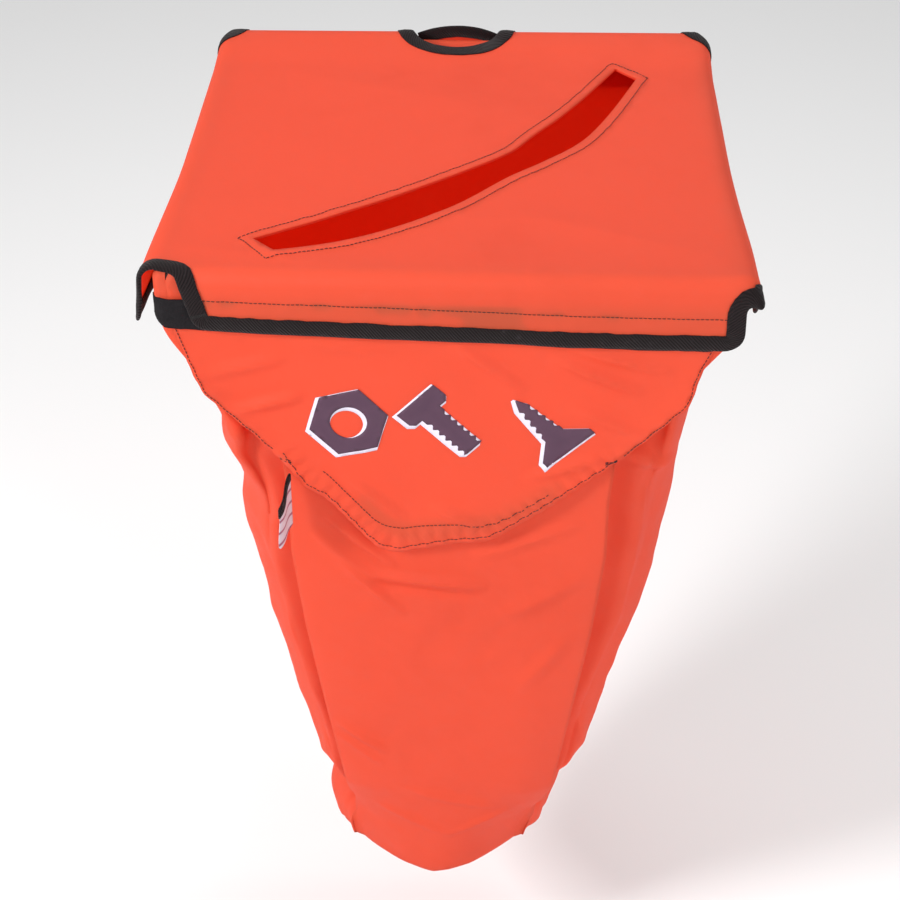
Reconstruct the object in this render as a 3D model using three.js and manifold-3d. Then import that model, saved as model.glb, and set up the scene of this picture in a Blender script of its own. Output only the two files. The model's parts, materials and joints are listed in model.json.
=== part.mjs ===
// Airfield debris bag: a tapered fabric bag on a square tube frame, with a slotted lid,
// a V-shaped closure flap over the discharge mouth and hook-and-loop strips.
// Millimetres, +Z up, +Y to the rear; the origin is the middle of the rear frame tube.
import * as THREE from 'three';
import Module from 'manifold-3d';

const wasm = await Module();
wasm.setup();

// ---------------------------------------------------------------- driving dimensions
const SIZE = {
  frameWidth: 430, // left to right tube centres
  frameDepth: 430, // front to rear tube centres
  bodyHeight: 700, // tube centre down to the base
  tubeDiameter: 12,
  tubeWall: 1.5,
  elbowLeg: 16, // elbow corner to shoulder
  spigotLength: 20,
  fit: 0.3, // play between touching pieces
  fabric: 1.0,
  stripWidth: 25,
  stripThickness: 1.3,
  stripTop: 14.7, // below the tube centre
  tapeLeg: 12,
  tapeInnerLeg: 6,
  tapeThickness: 0.9,
  flapDrop: 46, // below the tube centre
  notchRadius: 13,
  hemAccess: 22, // tunnel ends, from the tube corner
  flapHinge: 172, // below the tube centre
  flapStripWidth: 16,
  labelWidth: 26,
  labelHeight: 56,
  vinyl: 0.35,
  moonHalfWidth: 41,
  moonDepth: 37,
  archHalfWidth: 40,
  archRise: 6,
  slotFacingWidth: 12,
  slotFacingThickness: 0.8,
  rearFlapInset: 12,
  loopStripInset: 26,
  hookStripInset: 30,
};

const tubeRadius = SIZE.tubeDiameter / 2;
const boreRadius = tubeRadius - SIZE.tubeWall;
const spigotRadius = boreRadius - SIZE.fit;
const tunnelInner = tubeRadius + SIZE.fit + 0.1;
const tunnelOuter = tunnelInner + SIZE.fabric;
const wallMid = tunnelInner + SIZE.fabric / 2;
const loopIn = tunnelOuter + SIZE.fit;
const loopOut = loopIn + SIZE.stripThickness;
const hookIn = loopOut + SIZE.fit;
const hookOut = hookIn + SIZE.stripThickness;
const lidIn = hookOut + SIZE.fit;
const lidOut = lidIn + SIZE.fabric;
const lidLow = tunnelOuter + 0.5;
const lidHigh = lidLow + SIZE.fabric;
const halfWidth = SIZE.frameWidth / 2;
const wallHalf = halfWidth + wallMid;
const wallDepth = SIZE.frameDepth + 2 * wallMid;
const wallFront = -SIZE.frameDepth - wallMid;
const lidHalf = halfWidth + lidOut;
const lidFront = -SIZE.frameDepth - lidOut;
const lidMidY = -SIZE.frameDepth / 2;
const hingeY = -3.5;
const lidRear = hingeY - 2.5;
const lipFront = hingeY + 2.5;
const moonX = -7;
const moonY = 10;
const skirt = SIZE.fit + SIZE.tapeThickness;

// Body shape by level: height share, then front edge, shoulder, side and rear edge of a gusset
// in plan, each as (share of half width, share of depth from the front).
const LEVELS = [
  [-0.007, [1.0, 0.002], [1.0, 0.083], [1.0, 0.5], [1.0, 0.998]],
  [0.036, [0.993, 0.002], [1.0, 0.07], [1.0, 0.5], [1.0, 0.998]],
  [0.064, [0.95, 0.002], [0.998, 0.06], [1.0, 0.5], [1.0, 0.998]],
  [0.086, [0.91, 0.002], [0.985, 0.072], [0.996, 0.5], [0.996, 0.998]],
  [0.14, [0.845, 0.002], [0.96, 0.1], [0.991, 0.5], [0.978, 0.978]],
  [0.163, [0.778, 0.002], [0.925, 0.1], [0.984, 0.49], [0.968, 0.965]],
  [0.223, [0.597, 0.003], [0.822, 0.083], [0.955, 0.466], [0.937, 0.939]],
  [0.286, [0.583, 0.012], [0.789, 0.117], [0.915, 0.444], [0.901, 0.908]],
  [0.371, [0.585, 0.02], [0.757, 0.139], [0.856, 0.421], [0.843, 0.867]],
  [0.5, [0.55, 0.04], [0.676, 0.162], [0.793, 0.399], [0.744, 0.804]],
  [0.643, [0.496, 0.068], [0.613, 0.185], [0.735, 0.387], [0.658, 0.737]],
  [0.814, [0.433, 0.115], [0.532, 0.207], [0.622, 0.365], [0.541, 0.658]],
  [0.914, [0.401, 0.19], [0.469, 0.263], [0.518, 0.354], [0.464, 0.613]],
  [1.0, [0.338, 0.207], [0.415, 0.268], [0.446, 0.354], [0.383, 0.545]],
];
// Middle of the lower front panel by height share, as a share of depth from the front.
const CENTRE = [
  [0.2, 0.0097], [0.286, 0.0097], [0.371, 0.0178], [0.5, 0.038],
  [0.643, 0.063], [0.814, 0.097], [0.914, 0.119], [1.0, 0.139],
];
// Lower edge of the upper front panel as shares of half width and body height.
const HEM = [
  [-0.59, 0.223], [-0.455, 0.251], [-0.315, 0.296], [-0.212, 0.336], [-0.131, 0.346],
  [0.045, 0.334], [0.189, 0.327], [0.401, 0.28], [0.595, 0.229],
];
// Both edges of the lid slot, as shares of the lid half size from its middle.
const SLOT_REAR = [
  [-0.667, -0.764], [-0.356, -0.542], [-0.053, -0.289], [0.178, -0.08],
  [0.284, 0.089], [0.422, 0.307], [0.613, 0.684],
];
const SLOT_FRONT = [
  [0.693, 0.591], [0.569, 0.253], [0.453, 0.018], [0.302, -0.156],
  [0.178, -0.28], [-0.044, -0.542], [-0.338, -0.751], [-0.587, -0.849],
];

// ---------------------------------------------------------------- closed solids
function signedVolume(p, t) {
  let sum = 0;
  for (let i = 0; i < t.length; i += 3) {
    const [a, b, c] = [t[i] * 3, t[i + 1] * 3, t[i + 2] * 3];
    sum += p[a] * (p[b + 1] * p[c + 2] - p[b + 2] * p[c + 1]);
    sum -= p[a + 1] * (p[b] * p[c + 2] - p[b + 2] * p[c]);
    sum += p[a + 2] * (p[b] * p[c + 1] - p[b + 1] * p[c]);
  }
  return sum / 6;
}

function toManifold(positions, triangles) {
  const tri = Uint32Array.from(triangles);
  if (signedVolume(positions, tri) < 0) {
    for (let i = 0; i < tri.length; i += 3) {
      const keep = tri[i];
      tri[i] = tri[i + 1];
      tri[i + 1] = keep;
    }
  }
  const vertProperties = Float32Array.from(positions);
  return new wasm.Manifold(new wasm.Mesh({ numProp: 3, vertProperties, triVerts: tri }));
}

// A flat outline with holes between two depths, carried into space by place(a, b, depth).
function prism(outline, holes, low, high, place) {
  const contour = outline.map(([a, b]) => new THREE.Vector2(a, b));
  if (THREE.ShapeUtils.isClockWise(contour)) contour.reverse();
  const rings = [contour];
  for (const hole of holes) {
    const ring = hole.map(([a, b]) => new THREE.Vector2(a, b));
    if (!THREE.ShapeUtils.isClockWise(ring)) ring.reverse();
    rings.push(ring);
  }
  const faces = THREE.ShapeUtils.triangulateShape(contour, rings.slice(1));
  const flat = rings.flat();
  const count = flat.length;
  const positions = [];
  for (const depth of [low, high]) {
    for (const p of flat) positions.push(...place(p.x, p.y, depth));
  }
  const triangles = [];
  for (const [a, b, c] of faces) triangles.push(a, c, b, a + count, b + count, c + count);
  let start = 0;
  for (const ring of rings) {
    for (let i = 0; i < ring.length; i += 1) {
      const a = start + i;
      const b = start + ((i + 1) % ring.length);
      triangles.push(a, b, b + count, a, b + count, a + count);
    }
    start += ring.length;
  }
  return toManifold(positions, triangles);
}

// A curved sheet of even thickness through at(u, v), u and v running 0 to 1.
function sheet(at, columns, rows, thickness) {
  const small = 0.002;
  const positions = [];
  const width = columns + 1;
  const count = width * (rows + 1);
  const outer = [];
  const inner = [];
  for (let j = 0; j <= rows; j += 1) {
    for (let i = 0; i <= columns; i += 1) {
      const u = i / columns;
      const v = j / rows;
      const p = at(u, v);
      const du = at(Math.min(u + small, 1), v).sub(at(Math.max(u - small, 0), v));
      const dv = at(u, Math.min(v + small, 1)).sub(at(u, Math.max(v - small, 0)));
      const n = du.cross(dv).normalize().multiplyScalar(thickness / 2);
      outer.push(...p.clone().add(n).toArray());
      inner.push(...p.clone().sub(n).toArray());
    }
  }
  positions.push(...outer, ...inner);
  const triangles = [];
  for (let j = 0; j < rows; j += 1) {
    for (let i = 0; i < columns; i += 1) {
      const a = j * width + i;
      const b = a + 1;
      const c = a + width + 1;
      const d = a + width;
      triangles.push(a, b, c, a, c, d);
      triangles.push(a + count, c + count, b + count, a + count, d + count, c + count);
    }
  }
  const rim = [];
  for (let i = 0; i < columns; i += 1) rim.push(i);
  for (let j = 0; j < rows; j += 1) rim.push(j * width + columns);
  for (let i = columns; i > 0; i -= 1) rim.push(rows * width + i);
  for (let j = rows; j > 0; j -= 1) rim.push(j * width);
  for (let k = 0; k < rim.length; k += 1) {
    const a = rim[k];
    const b = rim[(k + 1) % rim.length];
    triangles.push(a, a + count, b + count, a, b + count, b);
  }
  return toManifold(positions, triangles);
}

const join = (parts) => parts.reduce((sum, part) => sum.add(part));

const onTop = (a, b, d) => [a, b, d];
const onFront = (a, b, d) => [a, -SIZE.frameDepth - d, b];
const onRear = (a, b, d) => [a, d, b];
const onSide = (sign) => (a, b, d) => [sign * (halfWidth + d), a, b];
const alongX = (y, z) => (a, b, d) => [d, y + a, z + b];
const alongY = (x, z) => (a, b, d) => [x + a, d, z + b];

const box = (a0, a1, b0, b1) => [[a0, b0], [a1, b0], [a1, b1], [a0, b1]];

function circle(radius, count = 32, x = 0, y = 0) {
  const points = [];
  for (let i = 0; i < count; i += 1) {
    const angle = (2 * Math.PI * i) / count;
    points.push([x + radius * Math.cos(angle), y + radius * Math.sin(angle)]);
  }
  return points;
}

// A path moved sideways; positive distances lie to the left of its direction.
function offset(path, distance, closed = false) {
  const count = path.length;
  return path.map(([x, y], i) => {
    const before = path[closed ? (i + count - 1) % count : Math.max(i - 1, 0)];
    const after = path[closed ? (i + 1) % count : Math.min(i + 1, count - 1)];
    const a = new THREE.Vector2(x - before[0], y - before[1]);
    const b = new THREE.Vector2(after[0] - x, after[1] - y);
    if (a.length() === 0) a.copy(b);
    if (b.length() === 0) b.copy(a);
    a.normalize();
    b.normalize();
    const n = new THREE.Vector2(-a.y - b.y, a.x + b.x).normalize();
    const scale = distance / Math.max(n.x * -a.y + n.y * a.x, 0.4);
    return [x + n.x * scale, y + n.y * scale];
  });
}

const band = (path, left, right) => [...offset(path, left), ...offset(path, right).reverse()];

// A folded binding tape round a sheet edge; the sheet lies to the left of the path.
function binding(path, sheetLow, sheetHigh, outsideLeg, insideLeg, place) {
  const low = sheetLow - skirt;
  const high = sheetHigh + skirt;
  return join([
    prism(band(path, outsideLeg, -skirt), [], sheetHigh + SIZE.fit, high, place),
    prism(band(path, insideLeg, -skirt), [], low, sheetLow - SIZE.fit, place),
    prism(band(path, -SIZE.fit, -skirt), [], low, high, place),
  ]);
}

const spline = (points, count) =>
  new THREE.SplineCurve(points.map(([a, b]) => new THREE.Vector2(a, b)))
    .getPoints(count)
    .map((p) => [p.x, p.y]);

// ---------------------------------------------------------------- body shape
function between(table, share) {
  let k = 0;
  while (k < table.length - 2 && share > table[k + 1][0]) k += 1;
  const t = (share - table[k][0]) / (table[k + 1][0] - table[k][0]);
  return [k, Math.min(Math.max(t, 0), 1)];
}

const lerp = (a, b, t) => a + (b - a) * t;

function levelPoint(share, column) {
  const [k, t] = between(LEVELS, share);
  const a = LEVELS[k][column];
  const b = LEVELS[k + 1][column];
  const across = lerp(a[0], b[0], t) * wallHalf;
  return new THREE.Vector2(across, wallFront + lerp(a[1], b[1], t) * wallDepth);
}

function centreY(share) {
  const [k, t] = between(CENTRE, share);
  return wallFront + lerp(CENTRE[k][1], CENTRE[k + 1][1], t) * wallDepth;
}

const shareTop = LEVELS[0][0];

// A gusset in plan at one height: through its four guide points, clear of both neighbours.
function gussetPoint(sign, u, share) {
  const gap = 1.9;
  const points = [1, 2, 3, 4].map((column) => levelPoint(share, column));
  points[0].x += share > 0.05 ? gap : 0;
  points[3].y -= gap;
  const curve = new THREE.SplineCurve(points);
  const p = curve.getPoint(u);
  return new THREE.Vector3(sign * p.x, p.y, -share * SIZE.bodyHeight);
}

function gusset(sign) {
  const wall = sheet((u, v) => gussetPoint(sign, u, lerp(shareTop, 1, v)), 18, 40, SIZE.fabric);
  const ring = prism(
    circle(tunnelOuter), [circle(tunnelInner)],
    -SIZE.frameDepth + SIZE.hemAccess, -SIZE.hemAccess, alongY(sign * halfWidth, 0),
  );
  return wall.add(ring);
}

function frontRing() {
  return prism(
    circle(tunnelOuter), [circle(tunnelInner)],
    -halfWidth + SIZE.hemAccess, halfWidth - SIZE.hemAccess, alongX(-SIZE.frameDepth, 0),
  );
}

const hemPoint = ([a, b], lift = 0) => [a * wallHalf, -b * SIZE.bodyHeight + lift];

// The hem point at one height on the left or right arm of the V.
function hemCrossing(z, right) {
  const points = HEM.map((p) => hemPoint(p));
  if (right) points.reverse();
  for (let k = 0; k < points.length - 1; k += 1) {
    const [a, b] = [points[k], points[k + 1]];
    if (a[1] >= z && b[1] < z) return [lerp(a[0], b[0], (z - a[1]) / (b[1] - a[1])), z];
  }
  return points[0];
}

function frontYoke() {
  const side = LEVELS.slice(0, 7).map(([share, front]) => [
    front[0] * wallHalf - (share > 0.05 ? 0 : 1.5), -share * SIZE.bodyHeight,
  ]);
  const hinge = -SIZE.flapHinge + 1;
  const ends = [hemCrossing(hinge, false), hemCrossing(hinge, true)];
  const left = side.map(([x, z]) => [-x, z]);
  const outline = [...left, ends[0], ends[1], ...side.reverse()];
  const plate = prism(outline, [], tunnelInner, tunnelOuter, onFront);
  return plate.add(frontRing());
}

function closureFlap() {
  const hinge = -SIZE.flapHinge - 1;
  const low = HEM.map((p) => hemPoint(p)).filter(([, z]) => z < hinge);
  const outline = [hemCrossing(hinge, false), ...low, hemCrossing(hinge, true)];
  return prism(outline, [], tunnelInner, tunnelOuter, onFront);
}

const stripHem = () => HEM.slice(2, 8);

function hemStrip(near, far) {
  const low = stripHem().map((p) => hemPoint(p, 2.5));
  const high = stripHem().map((p) => hemPoint(p, 2.5 + SIZE.flapStripWidth));
  return prism([...low, ...high.reverse()], [], near, far, onFront);
}

function lowerPanel() {
  const start = 0.214;
  const at = (u, v) => {
    const share = lerp(start, 1, v);
    const s = 2 * u - 1;
    const edge = levelPoint(share, 1);
    const middle = centreY(share);
    const y = lerp(middle, Math.max(edge.y, middle), s * s);
    return new THREE.Vector3(s * (edge.x - 0.5), y, -share * SIZE.bodyHeight);
  };
  const wall = sheet(at, 20, 36, SIZE.fabric);
  const top = 30 - start * SIZE.bodyHeight;
  const mouth = HEM.map((p) => hemPoint(p, 26));
  const reach = wallHalf;
  const above = [[-reach, top], [-reach, -start * SIZE.bodyHeight + 1], ...mouth.slice(1, 8),
    [reach, -start * SIZE.bodyHeight + 1], [reach, top]];
  return wall.subtract(prism(above, [], -20, 30, onFront));
}

function rearPanel() {
  const at = (u, v) => {
    const share = lerp(shareTop, 1, v);
    const edge = levelPoint(share, 4);
    return new THREE.Vector3((2 * u - 1) * (edge.x - 1.2), edge.y + 0.9, -share * SIZE.bodyHeight);
  };
  const wall = sheet(at, 6, 40, SIZE.fabric);
  const ring = prism(
    circle(tunnelOuter), [circle(tunnelInner)],
    -halfWidth + SIZE.hemAccess, halfWidth - SIZE.hemAccess, alongX(0, 0),
  );
  const tab = prism([...archPath(0), [archX(1), 2], [archX(-1), 2]], [], tunnelInner, tunnelOuter, onRear);
  return join([wall, ring, tab]);
}

// The arched upper edge of the rear panel, standing in the half-moon cut-out.
const archX = (s) => moonX + 1 + SIZE.archHalfWidth * s;
const archZ = (s) => 2 * tubeRadius + SIZE.archRise * (1 - s * s);

function archPath(lift) {
  const path = [];
  for (let i = -10; i <= 10; i += 1) path.push([archX(i / 10), archZ(i / 10) + lift]);
  return path;
}

function rearRimTape() {
  const top = archPath(skirt);
  const inner = archPath(-10).map(([x, z]) => [x, Math.max(z, tunnelOuter - 1.6)]).reverse();
  const outer = archPath(-10).reverse();
  const near = tunnelInner - skirt;
  const far = tunnelOuter + skirt;
  return join([
    prism([...top, ...inner], [], near, tunnelInner - SIZE.fit, onRear),
    prism([...top, ...outer], [], tunnelOuter + SIZE.fit, far, onRear),
    prism([...top, ...archPath(SIZE.fit).reverse()], [], near, far, onRear),
  ]);
}

function basePanel() {
  const share = 1;
  const inset = 2.4;
  const right = [];
  for (let i = 0; i <= 12; i += 1) {
    const p = gussetPoint(1, i / 12, share);
    right.push([p.x, p.y]);
  }
  const front = [];
  for (let i = -7; i <= 7; i += 1) {
    const s = i / 8;
    const edge = levelPoint(share, 1);
    front.push([s * edge.x, lerp(centreY(share), edge.y, s * s)]);
  }
  const left = right.map(([x, y]) => [-x, y]).reverse();
  const outline = offset([...front, ...right, ...left], inset, true);
  return prism(outline, [], -SIZE.bodyHeight, -SIZE.bodyHeight + SIZE.fabric, onTop);
}

// ---------------------------------------------------------------- frame
const tubeEnd = SIZE.elbowLeg + SIZE.fit;

function tube(length, place) {
  return prism(circle(tubeRadius), [circle(boreRadius)], -length / 2, length / 2, place);
}

function ball(x, y, radius) {
  const rings = 12;
  const sides = 24;
  const positions = [x, y, radius];
  for (let j = 1; j < rings; j += 1) {
    const polar = (Math.PI * j) / rings;
    for (let i = 0; i < sides; i += 1) {
      const turn = (2 * Math.PI * i) / sides;
      positions.push(
        x + radius * Math.sin(polar) * Math.cos(turn),
        y + radius * Math.sin(polar) * Math.sin(turn),
        radius * Math.cos(polar),
      );
    }
  }
  positions.push(x, y, -radius);
  const last = positions.length / 3 - 1;
  const triangles = [];
  for (let i = 0; i < sides; i += 1) {
    const n = (i + 1) % sides;
    triangles.push(0, 1 + i, 1 + n);
    triangles.push(last, last - sides + n, last - sides + i);
    for (let j = 0; j < rings - 2; j += 1) {
      const a = 1 + j * sides;
      triangles.push(a + i, a + sides + i, a + sides + n, a + i, a + sides + n, a + n);
    }
  }
  return toManifold(positions, triangles);
}

function elbow(signX, rear) {
  const x = signX * halfWidth;
  const y = rear ? 0 : -SIZE.frameDepth;
  const inX = -signX;
  const inY = rear ? -1 : 1;
  const reach = SIZE.elbowLeg + SIZE.spigotLength;
  const spanX = (length) => [Math.min(x, x + inX * length), Math.max(x, x + inX * length)];
  const spanY = (length) => [Math.min(y, y + inY * length), Math.max(y, y + inY * length)];
  return join([
    ball(x, y, tubeRadius),
    prism(circle(tubeRadius), [], ...spanX(SIZE.elbowLeg), alongX(y, 0)),
    prism(circle(spigotRadius), [], ...spanX(reach), alongX(y, 0)),
    prism(circle(tubeRadius), [], ...spanY(SIZE.elbowLeg), alongY(x, 0)),
    prism(circle(spigotRadius), [], ...spanY(reach), alongY(x, 0)),
  ]);
}

// ---------------------------------------------------------------- lid
const slotHalf = lidHalf - lidOut + 10;
const slotPoint = ([a, b]) => [a * slotHalf, lidMidY + (b * slotHalf * SIZE.frameDepth) / SIZE.frameWidth];
const slotPath = () => [
  ...spline(SLOT_REAR.map(slotPoint), 24), ...spline(SLOT_FRONT.map(slotPoint), 26),
];

const notchX = lidHalf - SIZE.notchRadius + 2;
const frontFlapEnd = notchX - SIZE.notchRadius;
const sideFlapFront = lidFront + Math.sqrt(SIZE.notchRadius ** 2 - (lidHalf - notchX) ** 2);
const sideFlapRear = lidRear - 3;

function moonPath(limit) {
  const path = [];
  for (let i = 0; i <= 32; i += 1) {
    const angle = Math.PI + (Math.PI * i) / 32;
    const point = [
      moonX + SIZE.moonHalfWidth * Math.cos(angle), moonY + SIZE.moonDepth * Math.sin(angle),
    ];
    if (point[1] <= limit) path.push(point);
  }
  return path;
}

function lidTop() {
  const plate = prism(
    box(-lidHalf, lidHalf, lidFront, lidRear), [slotPath()], lidLow, lidHigh, onTop,
  );
  const moonEnd = 20;
  const behind = [[moonX + SIZE.moonHalfWidth, moonEnd], [moonX - SIZE.moonHalfWidth, moonEnd]];
  const moon = prism([...moonPath(moonEnd), ...behind], [], 0, 2 * lidHigh, onTop);
  const notch = (sign) =>
    prism(circle(SIZE.notchRadius, 36, sign * notchX, lidFront), [], 0, 2 * lidHigh, onTop);
  const front = prism(
    box(-frontFlapEnd, frontFlapEnd, -SIZE.flapDrop, lidHigh), [], lidIn, lidOut, onFront,
  );
  const side = (sign) => prism(
    box(sideFlapFront, sideFlapRear, -SIZE.flapDrop, lidHigh), [], lidIn, lidOut, onSide(sign),
  );
  const flat = plate.subtract(moon).subtract(notch(-1)).subtract(notch(1));
  return join([flat, front, side(-1), side(1)]);
}

function slotFacing() {
  const inner = slotPath();
  const outer = offset(inner, SIZE.slotFacingWidth, true);
  const high = lidLow - SIZE.fit;
  return prism(outer, [inner], high - SIZE.slotFacingThickness, high, onTop);
}

function frontBinding() {
  const low = -SIZE.flapDrop;
  const top = 0;
  const path = [[-frontFlapEnd, top], [-frontFlapEnd, low], [frontFlapEnd, low], [frontFlapEnd, top]];
  return binding(path, lidIn, lidOut, SIZE.tapeLeg, SIZE.tapeInnerLeg, onFront);
}

function sideBinding(sign) {
  const low = -SIZE.flapDrop;
  const path = [[sideFlapFront, 0], [sideFlapFront, low], [sideFlapRear, low], [sideFlapRear, 0]];
  return binding(path, lidIn, lidOut, SIZE.tapeLeg, SIZE.tapeInnerLeg, onSide(sign));
}

function cornerTape(sign) {
  const path = [];
  const [from, to] = sign < 0 ? [115, 12] : [168, 65];
  for (let i = 0; i <= 14; i += 1) {
    const angle = (lerp(from, to, i / 14) * Math.PI) / 180;
    path.push([
      sign * notchX + SIZE.notchRadius * Math.cos(angle), lidFront + SIZE.notchRadius * Math.sin(angle),
    ]);
  }
  return binding(path, lidLow, lidHigh, SIZE.tapeLeg - 2, SIZE.tapeInnerLeg, onTop);
}

function moonBinding() {
  const path = moonPath(lidRear).reverse();
  return binding(path, lidLow, lidHigh, SIZE.tapeLeg, SIZE.tapeInnerLeg, onTop);
}

function rearFlap() {
  const half = lidHalf - SIZE.rearFlapInset;
  const lip = prism(box(-half, half, lipFront, lidOut), [], lidLow, lidHigh, onTop);
  const wall = prism(box(-half, half, -SIZE.flapDrop, lidHigh), [], lidIn, lidOut, onRear);
  const clear = SIZE.moonHalfWidth + 4;
  const cut = prism(box(moonX - clear, moonX + clear, -4, 30), [], -20, 30, onRear);
  return lip.add(wall).subtract(cut);
}

function rearFlapBinding() {
  const half = lidHalf - SIZE.rearFlapInset;
  const low = -SIZE.flapDrop;
  const path = [[-half, 0], [-half, low], [half, low], [half, 0]];
  return binding(path, lidIn, lidOut, SIZE.tapeLeg, SIZE.tapeInnerLeg, onRear);
}

function strip(from, to, near, far, place) {
  const top = -SIZE.stripTop;
  return prism(box(from, to, top - SIZE.stripWidth, top), [], near, far, place);
}

// ---------------------------------------------------------------- vinyl marks and label
const markZ = -124;

function turned(points, degrees, x, z) {
  const angle = (degrees * Math.PI) / 180;
  return points.map(([a, b]) => [
    x + a * Math.cos(angle) - b * Math.sin(angle), z + a * Math.sin(angle) + b * Math.cos(angle),
  ]);
}

function boltOutline() {
  const right = [[27, 42], [27, 24], [22, 19], [13, 19]];
  for (let k = 0; k < 6; k += 1) {
    const z = 12 - 9 * k;
    right.push([13, z], [9.5, z - 3], [9.5, z - 5], [13, z - 8]);
  }
  right.push([9, -42]);
  const left = right.map(([x, z]) => [-x, z]).reverse();
  return [...right, ...left];
}

function screwOutline() {
  const right = [[32, 40], [32, 33], [12, 15]];
  for (let k = 0; k < 4; k += 1) {
    const z = 9 - 10 * k;
    const r = 12 - 1.4 * k;
    right.push([r, z], [r - 3.5, z - 3], [r - 3.5, z - 5], [r - 0.6, z - 8]);
  }
  right.push([0.8, -42]);
  const left = right.map(([x, z]) => [-x, z]).reverse();
  return [...right, ...left];
}

function mark(outline, holes, near) {
  return prism(outline, holes, near, near + SIZE.vinyl, onFront);
}

const scaled = (points, k) => points.map(([a, b]) => [a * k, b * k]);

const MARKS = {
  nut: { outline: circle(32, 6), plain: null, hole: 14.5, x: -78, tilt: 14 },
  bolt: {
    outline: scaled(boltOutline(), 0.76),
    plain: scaled([[29, 44], [29, 22.5], [23, 17], [15, 17], [15, -40], [10.5, -44]], 0.76),
    hole: 0, x: -3, tilt: 46,
  },
  screw: {
    outline: scaled(screwOutline(), 0.78),
    plain: scaled([[34, 42], [34, 32], [14, 14], [8.8, -32], [1.6, -44.5]], 0.78),
    hole: 0, x: 75, tilt: -136,
  },
};
const backingEdge = 1.6;

function markSolid(name) {
  const { outline, hole, x, tilt } = MARKS[name];
  const holes = hole ? [circle(hole, 40, x, markZ)] : [];
  return mark(turned(outline, tilt, x, markZ), holes, tunnelOuter + 2 * SIZE.fit + SIZE.vinyl);
}

function backingSolid(name) {
  const { outline, plain, hole, x, tilt } = MARKS[name];
  const mirrored = plain ? plain.map(([a, b]) => [-a, b]).reverse() : [];
  const whole = plain ? [...plain, ...mirrored] : offset(outline, -backingEdge, true);
  const shift = [x - backingEdge, markZ - backingEdge];
  const holes = hole ? [circle(hole - backingEdge, 40, ...shift)] : [];
  return mark(turned(whole, tilt, ...shift), holes, tunnelOuter + SIZE.fit);
}

function sideLabel() {
  const edge = levelPoint(0.25, 1);
  const turn = (-114 * Math.PI) / 180;
  const x = -edge.x + 5.3;
  const y = wallFront - 1.6;
  const place = (a, b, d) => [
    x + a * Math.cos(turn) - d * Math.sin(turn), y + a * Math.sin(turn) + d * Math.cos(turn), b,
  ];
  const top = -SIZE.flapHinge - 3;
  const outline = [[0, top], [SIZE.labelWidth, top - 4], [SIZE.labelWidth, top - SIZE.labelHeight],
    [0, top - SIZE.labelHeight + 4]];
  return prism(outline, [], -0.4, 0.4, place);
}

// ---------------------------------------------------------------- finishes
const FINISH = {
  orange: { color: 0xf55a40, roughness: 0.55, metalness: 0 },
  inside: { color: 0xe04a34, roughness: 0.6, metalness: 0 },
  tape: { color: 0x26202a, roughness: 0.85, metalness: 0 },
  strip: { color: 0x1c1a1e, roughness: 0.95, metalness: 0 },
  alloy: { color: 0xb8bcc0, roughness: 0.4, metalness: 1 },
  plastic: { color: 0x202224, roughness: 0.5, metalness: 0 },
  plum: { color: 0x4a2f45, roughness: 0.45, metalness: 0 },
  white: { color: 0xeeeaf2, roughness: 0.5, metalness: 0 },
};

const group = new THREE.Group();
group.name = 'debris_bag';

function place(name, solid, finish) {
  const { vertProperties, triVerts, numProp } = solid.getMesh();
  const geometry = new THREE.BufferGeometry();
  const points = new Float32Array((vertProperties.length / numProp) * 3);
  for (let i = 0, j = 0; i < vertProperties.length; i += numProp, j += 3) {
    points.set(vertProperties.subarray(i, i + 3), j);
  }
  geometry.setAttribute('position', new THREE.BufferAttribute(points, 3));
  geometry.setIndex(new THREE.BufferAttribute(Uint32Array.from(triVerts), 1));
  const flat = geometry.toNonIndexed();
  flat.computeVertexNormals();
  const material = new THREE.MeshStandardMaterial(FINISH[finish]);
  material.name = `${name}_finish`;
  const mesh = new THREE.Mesh(flat, material);
  mesh.name = name;
  group.add(mesh);
}

// Frame
const lengthX = SIZE.frameWidth - 2 * tubeEnd;
const lengthY = SIZE.frameDepth - 2 * tubeEnd;
place('frame_tube_front', tube(lengthX, alongX(-SIZE.frameDepth, 0)), 'alloy');
place('frame_tube_rear', tube(lengthX, alongX(0, 0)), 'alloy');
for (const [side, sign] of [['left', -1], ['right', 1]]) {
  const middle = (a, b, d) => [sign * halfWidth + a, lidMidY + d, b];
  place(`frame_tube_${side}`, tube(lengthY, middle), 'alloy');
  place(`corner_elbow_front_${side}`, elbow(sign, false), 'plastic');
  place(`corner_elbow_rear_${side}`, elbow(sign, true), 'plastic');
}

// Bag body
place('front_yoke_panel', frontYoke(), 'orange');
place('front_lower_panel', lowerPanel(), 'orange');
place('left_gusset', gusset(-1), 'orange');
place('right_gusset', gusset(1), 'orange');
place('rear_panel', rearPanel(), 'orange');
place('base_panel', basePanel(), 'orange');
place('rear_rim_tape', rearRimTape(), 'tape');

// Hook-and-loop strips
const strips = {
  loop: { inset: SIZE.loopStripInset, front: SIZE.loopStripInset + 8, near: loopIn, far: loopOut },
  hook: { inset: SIZE.hookStripInset, front: SIZE.hookStripInset + 6, near: hookIn, far: hookOut },
};
for (const [kind, { inset, front, near, far }] of Object.entries(strips)) {
  const half = halfWidth - inset;
  const sideFrom = -SIZE.frameDepth + front;
  place(`${kind}_strip_front`, strip(-half, half, near, far, onFront), 'strip');
  place(`${kind}_strip_rear`, strip(-half, half, near, far, onRear), 'strip');
  place(`${kind}_strip_left`, strip(sideFrom, -inset, near, far, onSide(-1)), 'strip');
  place(`${kind}_strip_right`, strip(sideFrom, -inset, near, far, onSide(1)), 'strip');
}

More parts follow.
